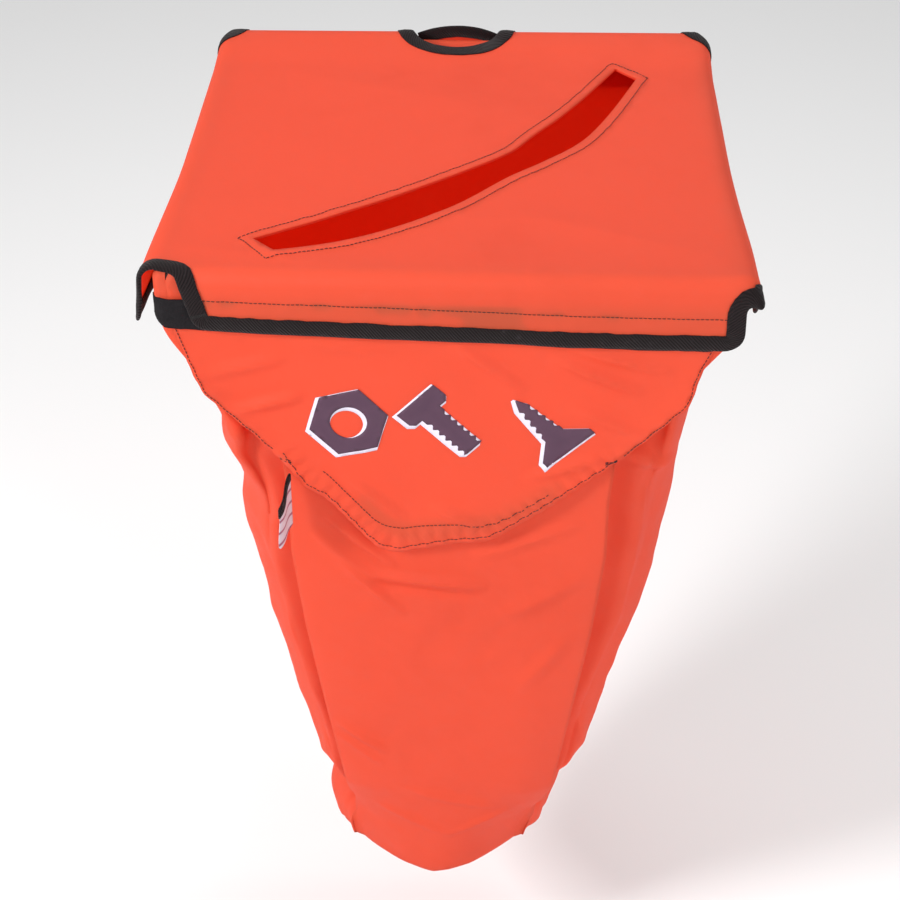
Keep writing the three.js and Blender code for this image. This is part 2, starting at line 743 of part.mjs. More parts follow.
// Lid
place('lid_top', lidTop(), 'orange');
place('slot_facing', slotFacing(), 'inside');
place('lid_binding_front', frontBinding(), 'tape');
place('lid_binding_left', sideBinding(-1), 'tape');
place('lid_binding_right', sideBinding(1), 'tape');
place('corner_binding_left', cornerTape(-1), 'tape');
place('corner_binding_right', cornerTape(1), 'tape');
place('half_moon_binding', moonBinding(), 'tape');
place('lid_rear_flap', rearFlap(), 'orange');
place('rear_flap_binding', rearFlapBinding(), 'tape');

// Closure flap over the discharge mouth
const flapHookFar = tunnelInner - SIZE.fit;
const flapHookNear = flapHookFar - 1.1;
const flapLoopFar = flapHookNear - SIZE.fit;
place('closure_flap', closureFlap(), 'orange');
place('flap_hook_strip', hemStrip(flapHookNear, flapHookFar), 'strip');
place('flap_loop_strip', hemStrip(flapLoopFar - 1.3, flapLoopFar), 'strip');

// Marks and label
for (const name of Object.keys(MARKS)) {
  place(`mark_${name}`, markSolid(name), 'plum');
  place(`mark_backing_${name}`, backingSolid(name), 'white');
}
place('side_label', sideLabel(), 'white');

export default group;
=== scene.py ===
"""Looks of the debris bag: sewn cloth, binding tape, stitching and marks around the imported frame."""

import json
import logging
import math
from dataclasses import dataclass, field
from enum import Enum
from typing import Callable, Iterable, Sequence

import bpy
from mathutils import Matrix, Vector, kdtree, noise
from mathutils.geometry import delaunay_2d_cdt


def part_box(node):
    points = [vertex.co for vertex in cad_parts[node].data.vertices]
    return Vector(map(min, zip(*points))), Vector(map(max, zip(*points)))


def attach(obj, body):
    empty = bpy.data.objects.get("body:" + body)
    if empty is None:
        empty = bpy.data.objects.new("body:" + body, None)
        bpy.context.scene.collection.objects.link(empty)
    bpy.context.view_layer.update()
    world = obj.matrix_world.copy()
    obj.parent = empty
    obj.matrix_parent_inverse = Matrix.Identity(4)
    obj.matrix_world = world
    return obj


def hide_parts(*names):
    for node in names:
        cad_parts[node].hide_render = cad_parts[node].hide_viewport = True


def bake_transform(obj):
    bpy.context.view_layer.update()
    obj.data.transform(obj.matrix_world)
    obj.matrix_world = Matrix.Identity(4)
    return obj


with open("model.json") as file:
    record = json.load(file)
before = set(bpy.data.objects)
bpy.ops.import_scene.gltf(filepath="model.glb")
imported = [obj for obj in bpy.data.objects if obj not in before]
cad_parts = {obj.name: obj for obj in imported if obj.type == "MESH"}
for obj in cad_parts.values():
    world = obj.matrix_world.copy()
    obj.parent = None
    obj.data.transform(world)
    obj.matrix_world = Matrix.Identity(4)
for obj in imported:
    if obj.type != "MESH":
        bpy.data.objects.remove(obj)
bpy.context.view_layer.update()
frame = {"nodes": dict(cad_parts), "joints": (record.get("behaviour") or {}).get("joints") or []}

log = logging.getLogger("debris_bag")

Pair = tuple[float, float]
Colour = tuple[float, float, float]
Place = Callable[[float, float], Vector]

MM = 0.001


# ------------------------------------------------------------------ small maths


def lerp(a: float, b: float, t: float) -> float:
    """The value a share t of the way from a to b."""
    return a + (b - a) * t


def clamp(x: float, low: float = 0.0, high: float = 1.0) -> float:
    """x held between low and high."""
    return max(low, min(high, x))


def ease(x: float) -> float:
    """A smooth step from 0 to 1."""
    x = clamp(x)
    return x * x * (3 - 2 * x)


def hump(x: float) -> float:
    """A smooth bump, 1 at 0 and 0 from -1 and 1 outwards."""
    return ease(1 - abs(x))


def rough(x: float, y: float, scale: float, seed: float = 0.0) -> float:
    """Smooth noise of about -1 to 1 with features about scale long."""
    return noise.noise(Vector((x / scale, y / scale, seed)))


def crumple(x: float, y: float, scale: float, seed: float = 0.0) -> float:
    """Noise with sharp crests, as in stiff crumpled cloth."""
    return 0.5 - 1.6 * abs(rough(x, y, scale, seed))


def table(points: Sequence[Pair], x: float) -> float:
    """Straight lines through (x, y) points with rising x."""
    if x <= points[0][0]:
        return points[0][1]
    for (x0, y0), (x1, y1) in zip(points, points[1:]):
        if x <= x1:
            return lerp(y0, y1, (x - x0) / (x1 - x0))
    return points[-1][1]


def resample(path: Sequence[Pair], step: float, closed: bool) -> list[Pair]:
    """Even steps along a path.

    Args:
        path: corner points.
        step: wanted spacing.
        closed: whether the last point joins the first.

    Returns:
        Points about one step apart.
    """
    points = list(path) + ([path[0]] if closed else [])
    lengths = [math.dist(p, q) for p, q in zip(points, points[1:])]
    total = sum(lengths)
    count = max(2, round(total / step))
    result, k, done = [], 0, 0.0
    for i in range(count + (0 if closed else 1)):
        target = total * i / count
        while k < len(lengths) - 1 and done + lengths[k] < target:
            done += lengths[k]
            k += 1
        t = clamp((target - done) / max(lengths[k], 1e-9))
        result.append((lerp(points[k][0], points[k + 1][0], t), lerp(points[k][1], points[k + 1][1], t)))
    return result


def rounded(corners: Sequence[tuple[float, float, float]], closed: bool = True) -> list[Pair]:
    """A polygon with filleted corners.

    Args:
        corners: (x, y, fillet radius) of each corner.
        closed: whether the last corner joins the first.

    Returns:
        The outline's points.
    """
    count = len(corners)
    result: list[Pair] = []
    for i, (x, y, radius) in enumerate(corners):
        if not closed and i in (0, count - 1) or radius <= 0:
            result.append((x, y))
            continue
        before, here, after = (Vector(corners[(i + k) % count][:2]) for k in (-1, 0, 1))
        a, b = (before - here).normalized(), (after - here).normalized()
        half = math.acos(clamp(a.dot(b), -1, 1)) / 2
        reach = radius / math.tan(half)
        start, end = here + a * reach, here + b * reach
        centre = here + (a + b).normalized() * (radius / math.sin(half))
        turn = math.pi - 2 * half
        side = 1 if (start - centre).x * (end - centre).y > (start - centre).y * (end - centre).x else -1
        steps = max(3, round(turn * radius / 3))
        for k in range(steps + 1):
            angle = side * turn * k / steps
            c, s = math.cos(angle), math.sin(angle)
            p = start - centre
            result.append((centre.x + p.x * c - p.y * s, centre.y + p.x * s + p.y * c))
    return result


def smooth_path(points: Sequence[Pair], steps: int = 6) -> list[Pair]:
    """A Catmull-Rom curve through points."""
    result = []
    for i in range(len(points) - 1):
        p0, p1 = points[max(i - 1, 0)], points[i]
        p2, p3 = points[i + 1], points[min(i + 2, len(points) - 1)]
        for k in range(steps):
            t = k / steps
            weights = (
                -0.5 * t + t * t - 0.5 * t**3,
                1 - 2.5 * t * t + 1.5 * t**3,
                0.5 * t + 2 * t * t - 1.5 * t**3,
                -0.5 * t * t + 0.5 * t**3,
            )
            result.append(
                tuple(sum(w * p[axis] for w, p in zip(weights, (p0, p1, p2, p3))) for axis in (0, 1))
            )
    result.append(tuple(points[-1]))
    return result


def directions(path: Sequence[Pair], closed: bool) -> list[Vector]:
    """The unit direction of travel at each point of a path."""
    count = len(path)
    result = []
    for i in range(count):
        a = path[(i - 1) % count] if closed or i else path[0]
        b = path[(i + 1) % count] if closed or i < count - 1 else path[-1]
        result.append((Vector(b) - Vector(a)).normalized())
    return result


def shifted(path: Sequence[Pair], distance: float, closed: bool) -> list[Pair]:
    """A path moved to its left by a distance."""
    return [
        (x - d.y * distance, y + d.x * distance)
        for (x, y), d in zip(path, directions(path, closed))
    ]


def inside(point: Pair, outline: Sequence[Pair]) -> bool:
    """Whether a point lies within an outline."""
    x, y = point
    found = False
    for (x0, y0), (x1, y1) in zip(outline, list(outline[1:]) + [outline[0]]):
        if (y0 > y) != (y1 > y) and x < (x1 - x0) * (y - y0) / (y1 - y0) + x0:
            found = not found
    return found


def tree_of(path: Sequence[Pair]) -> kdtree.KDTree:
    """A search tree of a path's points."""
    tree = kdtree.KDTree(len(path))
    for i, (x, y) in enumerate(path):
        tree.insert((x, y, 0), i)
    tree.balance()
    return tree


# ------------------------------------------------------------------ shader writing


class Socket:
    """A node output that can be used in arithmetic."""

    def __init__(self, shader: "Shader", out: bpy.types.NodeSocket) -> None:
        """Wraps out, a socket of shader's tree."""
        self.shader = shader
        self.out = out

    def _math(self, operation: str, first: object, second: object) -> "Socket":
        """One Math node."""
        return self.shader.node("ShaderNodeMath", {"operation": operation}, {0: first, 1: second})

    def __add__(self, other: object) -> "Socket":
        """self + other."""
        return self._math("ADD", self, other)

    def __sub__(self, other: object) -> "Socket":
        """self - other."""
        return self._math("SUBTRACT", self, other)

    def __mul__(self, other: object) -> "Socket":
        """self * other."""
        return self._math("MULTIPLY", self, other)

    def __truediv__(self, other: object) -> "Socket":
        """self / other."""
        return self._math("DIVIDE", self, other)

    def __pow__(self, other: object) -> "Socket":
        """self ** other."""
        return self._math("POWER", self, other)

    def __rsub__(self, other: object) -> "Socket":
        """other - self."""
        return self._math("SUBTRACT", other, self)

    __radd__ = __add__
    __rmul__ = __mul__

    def sine(self) -> "Socket":
        """The sine of self."""
        return self._math("SINE", self, 0.0)

    def clipped(self) -> "Socket":
        """self held between 0 and 1."""
        return self.shader.node("ShaderNodeClamp", {}, {0: self})


class Shader:
    """One material and the nodes added to it."""

    def __init__(self, name: str) -> None:
        """Makes a material with one Principled shader."""
        self.material = bpy.data.materials.new(name)
        self.material.use_nodes = True
        self.tree = self.material.node_tree
        self.principled = self.tree.nodes["Principled BSDF"]

    def node(self, kind: str, settings: dict, sockets: dict, output: int | str = 0) -> Socket:
        """Adds a node.

        Args:
            kind: the node's type.
            settings: attributes set first; "stops" holds a ramp's (place, colour) pairs.
            sockets: input name or number to a value or a Socket.
            output: which output to return.

        Returns:
            The wrapped output.
        """
        made = self.tree.nodes.new(kind)
        for key, value in settings.items():
            if key == "stops":
                self._stops(made, value)
            else:
                setattr(made, key, value)
        for key, value in sockets.items():
            self._feed(made.inputs[key], value)
        return Socket(self, made.outputs[output])

    def _stops(self, ramp: bpy.types.Node, stops: Sequence[tuple[float, Sequence[float]]]) -> None:
        """Sets a colour ramp's stops."""
        elements = ramp.color_ramp.elements
        while len(elements) < len(stops):
            elements.new(0.5)
        for element, (place, colour) in zip(elements, stops):
            element.position = place
            element.color = (*colour, 1.0)

    def _feed(self, socket: bpy.types.NodeSocket, value: object) -> None:
        """Links or sets one input."""
        if isinstance(value, Socket):
            self.tree.links.new(value.out, socket)
        else:
            socket.default_value = value

    def set(self, **values: object) -> None:
        """Sets the Principled shader's inputs; an underscore in a name stands for a space."""
        for key, value in values.items():
            self._feed(self.principled.inputs[key.replace("_", " ")], value)

    def noise(self, where: Socket, scale: float, detail: float = 3.0) -> Socket:
        """Fractal noise of 0 to 1."""
        sockets = {"Vector": where, "Scale": scale, "Detail": detail, "Roughness": 0.55}
        return self.node("ShaderNodeTexNoise", {"noise_dimensions": "3D"}, sockets)

    def mix(self, share: object, first: Sequence[float], second: object) -> Socket:
        """A colour between two."""
        colours = [(*c, 1.0) if isinstance(c, tuple) else c for c in (first, second)]
        return self.node(
            "ShaderNodeMix",
            {"data_type": "RGBA", "clamp_factor": True},
            {0: share, 6: colours[0], 7: colours[1]},
            2,
        )

    def bump(self, height: Socket, distance: float, strength: float = 1.0) -> None:
        """Feeds a height through a Bump node to the normal."""
        sockets = {"Height": height, "Distance": distance, "Strength": strength}
        self.set(Normal=self.node("ShaderNodeBump", {}, sockets))

    def glow_through(self, colour: Colour, share: float) -> None:
        """Lets a share of the light pass through the cloth."""
        through = self.node("ShaderNodeBsdfTranslucent", {}, {"Color": (*colour, 1.0)})
        solid = Socket(self, self.principled.outputs[0])
        mixed = self.node("ShaderNodeMixShader", {}, {0: share, 1: solid, 2: through})
        self._feed(self.tree.nodes["Material Output"].inputs["Surface"], mixed)

    def place(self) -> Socket:
        """The object coordinate."""
        return self.node("ShaderNodeTexCoord", {}, {}, "Object")

    def cloth(self) -> tuple[Socket, Socket, Socket]:
        """Along and across the cloth in metres, and nearness to its edge."""
        read = self.node("ShaderNodeAttribute", {"attribute_name": "cloth"}, {}, "Vector")
        parts = [self.node("ShaderNodeSeparateXYZ", {}, {0: read}, axis) for axis in range(3)]
        return parts[0], parts[1], parts[2]


# ------------------------------------------------------------------ finishes


@dataclass(frozen=True)
class CoatedFabric:
    """Hi-vis coated polyester: a fine plain weave under a satin coat."""

    name: str
    tint: Colour
    shade: Colour
    roughness: float = 0.5
    thread: float = 0.00055
    grime: float = 0.35
    through: float = 0.5

    def material(self) -> bpy.types.Material:
        """Builds the material."""
        shader = Shader(self.name)
        along, across, rim = shader.cloth()
        where = shader.place()
        turns = 2 * math.pi / self.thread
        weave = (along * turns).sine() * (across * turns).sine()
        broad = shader.noise(where, 5.0, 4.0)
        fine = shader.noise(where, 42.0, 5.0)
        soiled = ((broad - 0.52) * 2.2 + (fine - 0.5) * 0.8 + rim * 0.25).clipped() * self.grime
        colour = shader.mix(soiled, self.tint, self.shade)
        worn = tuple(lerp(c, 0.9, 0.06) for c in self.tint)
        rubbed = ((shader.noise(where, 90.0, 3.0) - 0.55) * 1.6).clipped() * 0.35
        shader.set(Base_Color=shader.mix(rubbed, colour, worn))
        shader.set(Roughness=fine * 0.16 + soiled * 0.2 + (self.roughness - 0.08))
        shader.set(Specular_IOR_Level=0.45, Sheen_Weight=0.08, Sheen_Roughness=0.5)
        shader.set(Sheen_Tint=(1.0, 0.5, 0.4, 1.0))
        shader.bump(weave * 0.35 + shader.noise(where, 300.0, 2.0) * 0.9 + fine * 2.2, 0.00022, 0.6)
        shader.glow_through((1.0, 0.17, 0.07), self.through)
        return shader.material


@dataclass(frozen=True)
class TwillTape:
    """Ribbed black binding tape."""

    name: str
    tint: Colour
    rib: Colour
    pitch: float = 0.0026

    def material(self) -> bpy.types.Material:
        """Builds the material."""
        shader = Shader(self.name)
        along, across, _ = shader.cloth()
        turns = 2 * math.pi / self.pitch
        bend = shader.noise(shader.place(), 90.0, 2.0) * 2.5
        ribs = ((along + across * 0.9) * turns + bend).sine() * 0.5 + 0.5
        strands = (across * (2 * math.pi / 0.0009)).sine() * 0.5 + 0.5
        fuzz = shader.noise(shader.place(), 700.0, 3.0)
        lint = ((shader.noise(shader.place(), 160.0, 4.0) - 0.6) * 3.0).clipped() * 0.3
        colour = shader.mix(ribs * 0.75 + fuzz * 0.2, self.tint, self.rib)
        shader.set(Base_Color=shader.mix(lint, colour, (0.11, 0.09, 0.1)))
        shader.set(Roughness=fuzz * 0.2 + 0.72, Specular_IOR_Level=0.2)
        shader.set(Sheen_Weight=0.08, Sheen_Roughness=0.4)
        shader.bump(ribs + strands * 0.3 + fuzz * 0.5, 0.0006, 0.9)
        return shader.material


@dataclass(frozen=True)
class HookLoop:
    """Black hook-and-loop tape."""

    name: str
    tint: Colour

    def material(self) -> bpy.types.Material:
        """Builds the material."""
        shader = Shader(self.name)
        where = shader.place()
        pile = shader.noise(where, 900.0, 4.0)
        tufts = shader.noise(where, 260.0, 3.0)
        shader.set(Base_Color=shader.mix(pile * tufts, self.tint, (0.03, 0.025, 0.028)))
        shader.set(Roughness=pile * 0.15 + 0.8, Specular_IOR_Level=0.15)
        shader.bump(pile + tufts, 0.0006, 0.9)
        return shader.material


@dataclass(frozen=True)
class Thread:
    """Twisted sewing thread."""

    name: str
    tint: Colour

    def material(self) -> bpy.types.Material:
        """Builds the material."""
        shader = Shader(self.name)
        ply = shader.noise(shader.place(), 1500.0, 2.0)
        shader.set(Base_Color=shader.mix(ply, self.tint, tuple(c * 2.2 for c in self.tint)))
        shader.set(Roughness=ply * 0.2 + 0.55, Specular_IOR_Level=0.35)
        shader.bump(ply, 0.0002, 0.7)
        return shader.material


@dataclass(frozen=True)
class PrintedVinyl:
    """Heat-pressed vinyl film with the weave showing through."""

    name: str
    tint: Colour
    faded: Colour
    roughness: float = 0.42

    def material(self) -> bpy.types.Material:
        """Builds the material."""
        shader = Shader(self.name)
        along, across, rim = shader.cloth()
        where = shader.place()
        turns = 2 * math.pi / 0.0011
        weave = (along * turns).sine() * (across * turns).sine() * 0.5 + 0.5
        wear = ((shader.noise(where, 60.0, 5.0) - 0.5) * 1.6).clipped() * 0.5 + rim * 0.3
        shader.set(Base_Color=shader.mix(wear + weave * 0.18, self.tint, self.faded))
        shader.set(Roughness=wear * 0.25 + self.roughness, Specular_IOR_Level=0.4)
        shader.bump(weave + shader.noise(where, 500.0, 2.0), 0.0002, 0.6)
        return shader.material


@dataclass(frozen=True)
class DrawnAlloy:
    """Drawn aluminium tube."""

    name: str
    tint: Colour

    def material(self) -> bpy.types.Material:
        """Builds the material."""
        shader = Shader(self.name)
        where = shader.place()
        streaks = shader.noise(where, 220.0, 6.0)
        shader.set(Base_Color=shader.mix(streaks, self.tint, tuple(c * 0.8 for c in self.tint)))
        shader.set(Metallic=1.0, Roughness=streaks * 0.25 + 0.25)
        shader.bump(streaks, 0.0001, 0.4)
        return shader.material


@dataclass(frozen=True)
class MouldedPlastic:
    """Glass-filled black plastic."""

    name: str
    tint: Colour

    def material(self) -> bpy.types.Material:
        """Builds the material."""
        shader = Shader(self.name)
        grain = shader.noise(shader.place(), 480.0, 4.0)
        shader.set(Base_Color=shader.mix(grain, self.tint, tuple(c * 1.6 for c in self.tint)))
        shader.set(Roughness=grain * 0.2 + 0.42)
        shader.bump(grain, 0.0002, 0.5)
        return shader.material


@dataclass(frozen=True)
class WovenLabel:
    """A pale woven label with plain pink bands and no lettering."""

    name: str
    ground: Colour
    bands: Colour

    def material(self) -> bpy.types.Material:
        """Builds the material."""
        shader = Shader(self.name)
        along, across, _ = shader.cloth()
        stripe = ((across * (2 * math.pi / 0.012)).sine() * 4.0 - 2.6).clipped()
        weave = (along * (2 * math.pi / 0.0006)).sine() * (across * (2 * math.pi / 0.0006)).sine()
        shader.set(Base_Color=shader.mix(stripe, self.ground, self.bands))
        shader.set(Roughness=weave * 0.05 + 0.6, Sheen_Weight=0.2)
        shader.bump(weave, 0.0001, 0.5)
        return shader.material


@dataclass(frozen=True)
class StudioSurface:
    """The pale floor."""

    name: str
    tint: Colour

    def material(self) -> bpy.types.Material:
        """Builds the material."""
        shader = Shader(self.name)
        patch = shader.noise(shader.place(), 3.0, 2.0)
        shader.set(Base_Color=shader.mix(patch, self.tint, tuple(c * 0.99 for c in self.tint)))
        shader.set(Roughness=0.9, Specular_IOR_Level=0.1)
        return shader.material


class Finish(Enum):
    """Every finish on the bag."""

    ORANGE = CoatedFabric("orange_fabric", (0.93, 0.132, 0.054), (0.65, 0.088, 0.04))
    INSIDE = CoatedFabric("inside_fabric", (0.93, 0.07, 0.025), (0.6, 0.05, 0.025), 0.6)
    TAPE = TwillTape("binding_tape", (0.003, 0.0012, 0.0015), (0.016, 0.008, 0.009))
    STRIP = HookLoop("hook_loop", (0.005, 0.004, 0.005))
    THREAD = Thread("black_thread", (0.012, 0.009, 0.01))
    PLUM = PrintedVinyl("vinyl_plum", (0.062, 0.022, 0.05), (0.105, 0.045, 0.08))
    WHITE = PrintedVinyl("vinyl_white", (0.78, 0.74, 0.86), (0.62, 0.56, 0.68), 0.5)
    ALLOY = DrawnAlloy("tube_alloy", (0.72, 0.73, 0.75))
    PLASTIC = MouldedPlastic("elbow_plastic", (0.02, 0.02, 0.022))
    LABEL = WovenLabel("label_cloth", (0.62, 0.5, 0.56), (0.3, 0.06, 0.12))
    FLOOR = StudioSurface("studio_floor", (0.9, 0.9, 0.9))


_made: dict[Finish, bpy.types.Material] = {}


def finish_of(finish: Finish) -> bpy.types.Material:
    """The material of a finish, made once."""
    if finish not in _made:
        _made[finish] = finish.value.material()
    return _made[finish]


# ------------------------------------------------------------------ meshes


@dataclass
class MeshData:
    """Vertices in millimetres, faces and the cloth coordinate of each vertex."""

    verts: list[Vector] = field(default_factory=list)
    faces: list[tuple[int, ...]] = field(default_factory=list)
    cloth: list[tuple[float, float, float]] = field(default_factory=list)

    def add(self, verts: Iterable[Vector], faces: Iterable[Sequence[int]], cloth: Iterable) -> None:
        """Appends another mesh."""
        start = len(self.verts)
        self.verts.extend(verts)
        self.faces.extend(tuple(i + start for i in f) for f in faces)
        self.cloth.extend(cloth)

    def area(self) -> float:
        """The surface area in square metres."""
        total = 0.0
        for f in self.faces:
            p = [self.verts[i] for i in f]
            for k in range(1, len(p) - 1):
                total += (p[k] - p[0]).cross(p[k + 1] - p[0]).length / 2
        return total * MM * MM

    def object(self, name: str, finish: Finish, thickness: float = 0.0) -> bpy.types.Object:
        """Makes the object.

        Args:
            name: the piece's name.
            finish: its finish.
            thickness: millimetres of cloth grown evenly about the surface, or 0 for a closed mesh.

        Returns:
            The linked object.
        """
        mesh = bpy.data.meshes.new(name)
        mesh.from_pydata([v * MM for v in self.verts], [], self.faces)
        attribute = mesh.attributes.new("cloth", "FLOAT_VECTOR", "POINT")
        attribute.data.foreach_set("vector", [x for c in self.cloth for x in c])
        mesh.polygons.foreach_set("use_smooth", [True] * len(mesh.polygons))
        mesh.materials.append(finish_of(finish))
        mesh.update()
        made = bpy.data.objects.new(name, mesh)
        bpy.context.scene.collection.objects.link(made)
        if thickness:
            shell = made.modifiers.new("cloth_thickness", "SOLIDIFY")
            shell.thickness = thickness * MM
            shell.offset = 0.0
            shell.use_even_offset = False
        return made


@dataclass(frozen=True)
class Crease:
    """A soft ridge (or valley, when its height is negative) along a line on a sheet."""

    start: Pair
    end: Pair
    width: float
    height: float

    def at(self, a: float, b: float) -> float:
        """The lift of the cloth at a point."""
        dx, dy = self.end[0] - self.start[0], self.end[1] - self.start[1]
        length2 = dx * dx + dy * dy
        t = ((a - self.start[0]) * dx + (b - self.start[1]) * dy) / length2
        if not 0 < t < 1:
            return 0.0
        off = abs((a - self.start[0]) * dy - (b - self.start[1]) * dx) / math.sqrt(length2)
        if off > self.width:
            return 0.0
        crest = (1 - off / self.width) ** 1.7
        return self.height * crest * math.sin(math.pi * t) ** 0.7


class Sheet:
    """A piece of cloth: a flat outline with holes, and a rule that places it in space."""

    def __init__(
        self,
        place: Place,
        outline: Sequence[Pair],
        holes: Sequence[Sequence[Pair]] = (),
        spacing: float = 5.0,
        facing: float = 1.0,
    ) -> None:
        """Keeps the cut.

        Args:
            place: flat point to a point in space, in millimetres.
            outline: the cut's edge, anticlockwise.
            holes: cut-outs.
            spacing: mesh spacing.
            facing: 1 if the outer side looks along du x dv, or -1.
        """
        self.place = place
        self.outline = resample(outline, spacing, True)
        self.holes = [resample(h, spacing * 0.8, True) for h in holes]
        self.spacing = spacing
        self.facing = facing

    def normal(self, a: float, b: float) -> Vector:
        """The outward normal at a flat point."""
        h = 0.6
        du = self.place(a + h, b) - self.place(a - h, b)
        dv = self.place(a, b + h) - self.place(a, b - h)
        return du.cross(dv).normalized() * self.facing

    def at(self, a: float, b: float, lift: float = 0.0) -> Vector:
        """A point on or above the cloth."""
        p = self.place(a, b)
        return p + self.normal(a, b) * lift if lift else p

    def mesh(self) -> MeshData:
        """Fills the cut with even triangles and places them."""
        rings = [self.outline, *self.holes]
        points: list[Pair] = [p for ring in rings for p in ring]
        edges, start = [], 0
        for ring in rings:
            count = len(ring)
            edges += [(start + i, start + (i + 1) % count) for i in range(count)]
            start += count
        near = kdtree.KDTree(len(points))
        for i, (x, y) in enumerate(points):
            near.insert((x, y, 0), i)
        near.balance()
        xs, ys = [p[0] for p in self.outline], [p[1] for p in self.outline]
        row, y = 0, min(ys)
        extra: list[Pair] = []
        while y < max(ys):
            x = min(xs) + (self.spacing / 2 if row % 2 else 0)
            while x < max(xs):
                if near.find((x, y, 0))[2] > self.spacing * 0.6 and self.covers((x, y)):
                    extra.append((x, y))
                x += self.spacing
            y += self.spacing * 0.866
            row += 1
        coords = [Vector(p) for p in points + extra]
        verts, _, faces, *_ = delaunay_2d_cdt(coords, edges, [], 0, 1e-6)
        kept = []
        for f in faces:
            centre = (sum(verts[i].x for i in f) / 3, sum(verts[i].y for i in f) / 3)
            if self.covers(centre):
                kept.append(tuple(f) if self.facing > 0 else tuple(reversed(f)))
        data = MeshData()
        for v in verts:
            data.verts.append(self.place(v.x, v.y))
            rim = hump(near.find((v.x, v.y, 0))[2] / 14)
            data.cloth.append((v.x * MM, v.y * MM, rim))
        data.faces = kept
        return data

    def flat_area(self) -> float:
        """The cut's area before it is placed, less its holes, in square metres."""
        holes = sum(abs(ring_area(h)) for h in self.holes)
        return (abs(ring_area(self.outline)) - holes) * MM * MM

    def flat_size(self) -> Pair:
        """The width and length of the rectangle the cut comes out of, in metres."""
        xs, ys = [p[0] for p in self.outline], [p[1] for p in self.outline]
        return (max(xs) - min(xs)) * MM, (max(ys) - min(ys)) * MM

    def covers(self, point: Pair) -> bool:
        """Whether the cut holds a flat point."""
        return inside(point, self.outline) and not any(inside(point, h) for h in self.holes)


def stitch_run(
    sheet: Sheet, path: Sequence[Pair], closed: bool = False, size: float = 0.33
) -> MeshData:
    """A row of lockstitches lying on a sheet.

    Args:
        sheet: the cloth they are sewn through.
        path: the seam line on the flat cloth.
        closed: whether the seam runs round.
        size: the thread's radius.

    Returns:
        The mesh of every stitch.
    """
    pitch, sides = 3.4, 6
    shares = (-0.38, -0.29, 0.0, 0.29, 0.38)
    widths = (0.35, 0.9, 1.0, 0.9, 0.35)
    lifts = (-0.5, 0.1, 0.45, 0.1, -0.5)
    data = MeshData()
    points = resample(path, pitch, closed)
    ends = list(zip(points, points[1:] + points[:1])) if closed else list(zip(points, points[1:]))
    for (x0, y0), (x1, y1) in ends:
        middle = ((x0 + x1) / 2, (y0 + y1) / 2)
        up = sheet.normal(*middle)
        a, b = sheet.place(x0, y0), sheet.place(x1, y1)
        along = (b - a).normalized()
        across = up.cross(along).normalized()
        skew = 0.12 * rough(x0, y0, 9.0, 3.1)
        verts: list[Vector] = []
        for share, width, lift in zip(shares, widths, lifts):
            centre = (a + b) / 2 + (b - a) * share + up * (0.8 + lift * size) + across * skew * share
            for k in range(sides):
                angle = 2 * math.pi * k / sides
                verts.append(centre + (across * math.cos(angle) + up * math.sin(angle)) * size * width)
        faces = [
            (
                j * sides + k, j * sides + (k + 1) % sides,
                (j + 1) * sides + (k + 1) % sides, (j + 1) * sides + k,
            )
            for j in range(len(shares) - 1)
            for k in range(sides)
        ]
        faces.append(tuple(range(sides))[::-1])
        faces.append(tuple(range((len(shares) - 1) * sides, len(shares) * sides)))
        data.add(verts, faces, [(0.0, 0.0, 0.0)] * len(verts))
    return data


@dataclass(frozen=True)
class Binding:
    """A tape folded round the edge of a sheet."""

    outer: float = 12.0
    inner: float = 11.0
    cloth: float = 0.5
    tape: float = 0.9

    def section(self) -> list[Pair]:
        """The folded tape's closed section as (inward, lift) points."""
        low = self.cloth + 0.15
        high = low + self.tape
        return [
            (self.outer, low), (self.outer + 0.15, high - 0.25), (self.outer - 0.6, high),
            (self.outer * 0.5, high + 0.25), (1.2, high + 0.1), (-0.5, high * 0.85), (-1.25, high * 0.4),
            (-1.4, 0.0), (-1.25, -high * 0.4), (-0.5, -high * 0.85), (1.2, -high),
            (self.inner, -high), (self.inner, -low), (0.3, -low), (-0.3, 0.0), (0.3, low),
        ]

    def wrap(self, sheet: Sheet, path: Sequence[Pair], closed: bool, seed: float = 0.0) -> MeshData:
        """Sweeps the tape along an edge; the cloth lies to the left of the path.

        Args:
            sheet: the cloth that is bound.
            path: its edge on the flat cloth.
            closed: whether the edge runs round.
            seed: picks the tape's small waviness.

        Returns:
            The tape's mesh.
        """
        section = self.section()
        points = resample(path, 3.0, closed)
        data = MeshData()
        travelled = 0.0
        for i, ((x, y), d) in enumerate(zip(points, directions(points, closed))):
            travelled += math.dist(points[i - 1], (x, y)) if i else 0.0
            wobble = 1.1 * rough(travelled, 0.0, 24.0, seed) + 0.6 * rough(travelled, 0.0, 7.0, seed + 5)
            puff = 0.5 * rough(travelled, 0.0, 15.0, seed + 9)
            ring = []
            for inward, lift in section:
                w = inward + wobble * clamp(inward / 6)
                ring.append(sheet.at(x - d.y * w, y + d.x * w, lift + puff * clamp(abs(lift))))
            cloth = [(travelled * MM, w * MM, 0.0) for w, _ in section]
            data.add(ring, [], cloth)
        count, sides = len(points), len(section)
        for i in range(count if closed else count - 1):
            j = (i + 1) % count
            for k in range(sides):
                n = (k + 1) % sides
                data.faces.append((i * sides + k, i * sides + n, j * sides + n, j * sides + k))
        if not closed:
            data.faces.append(tuple(range(sides))[::-1])
            data.faces.append(tuple(range((count - 1) * sides, count * sides)))
        return data


# ------------------------------------------------------------------ sizes from the frame


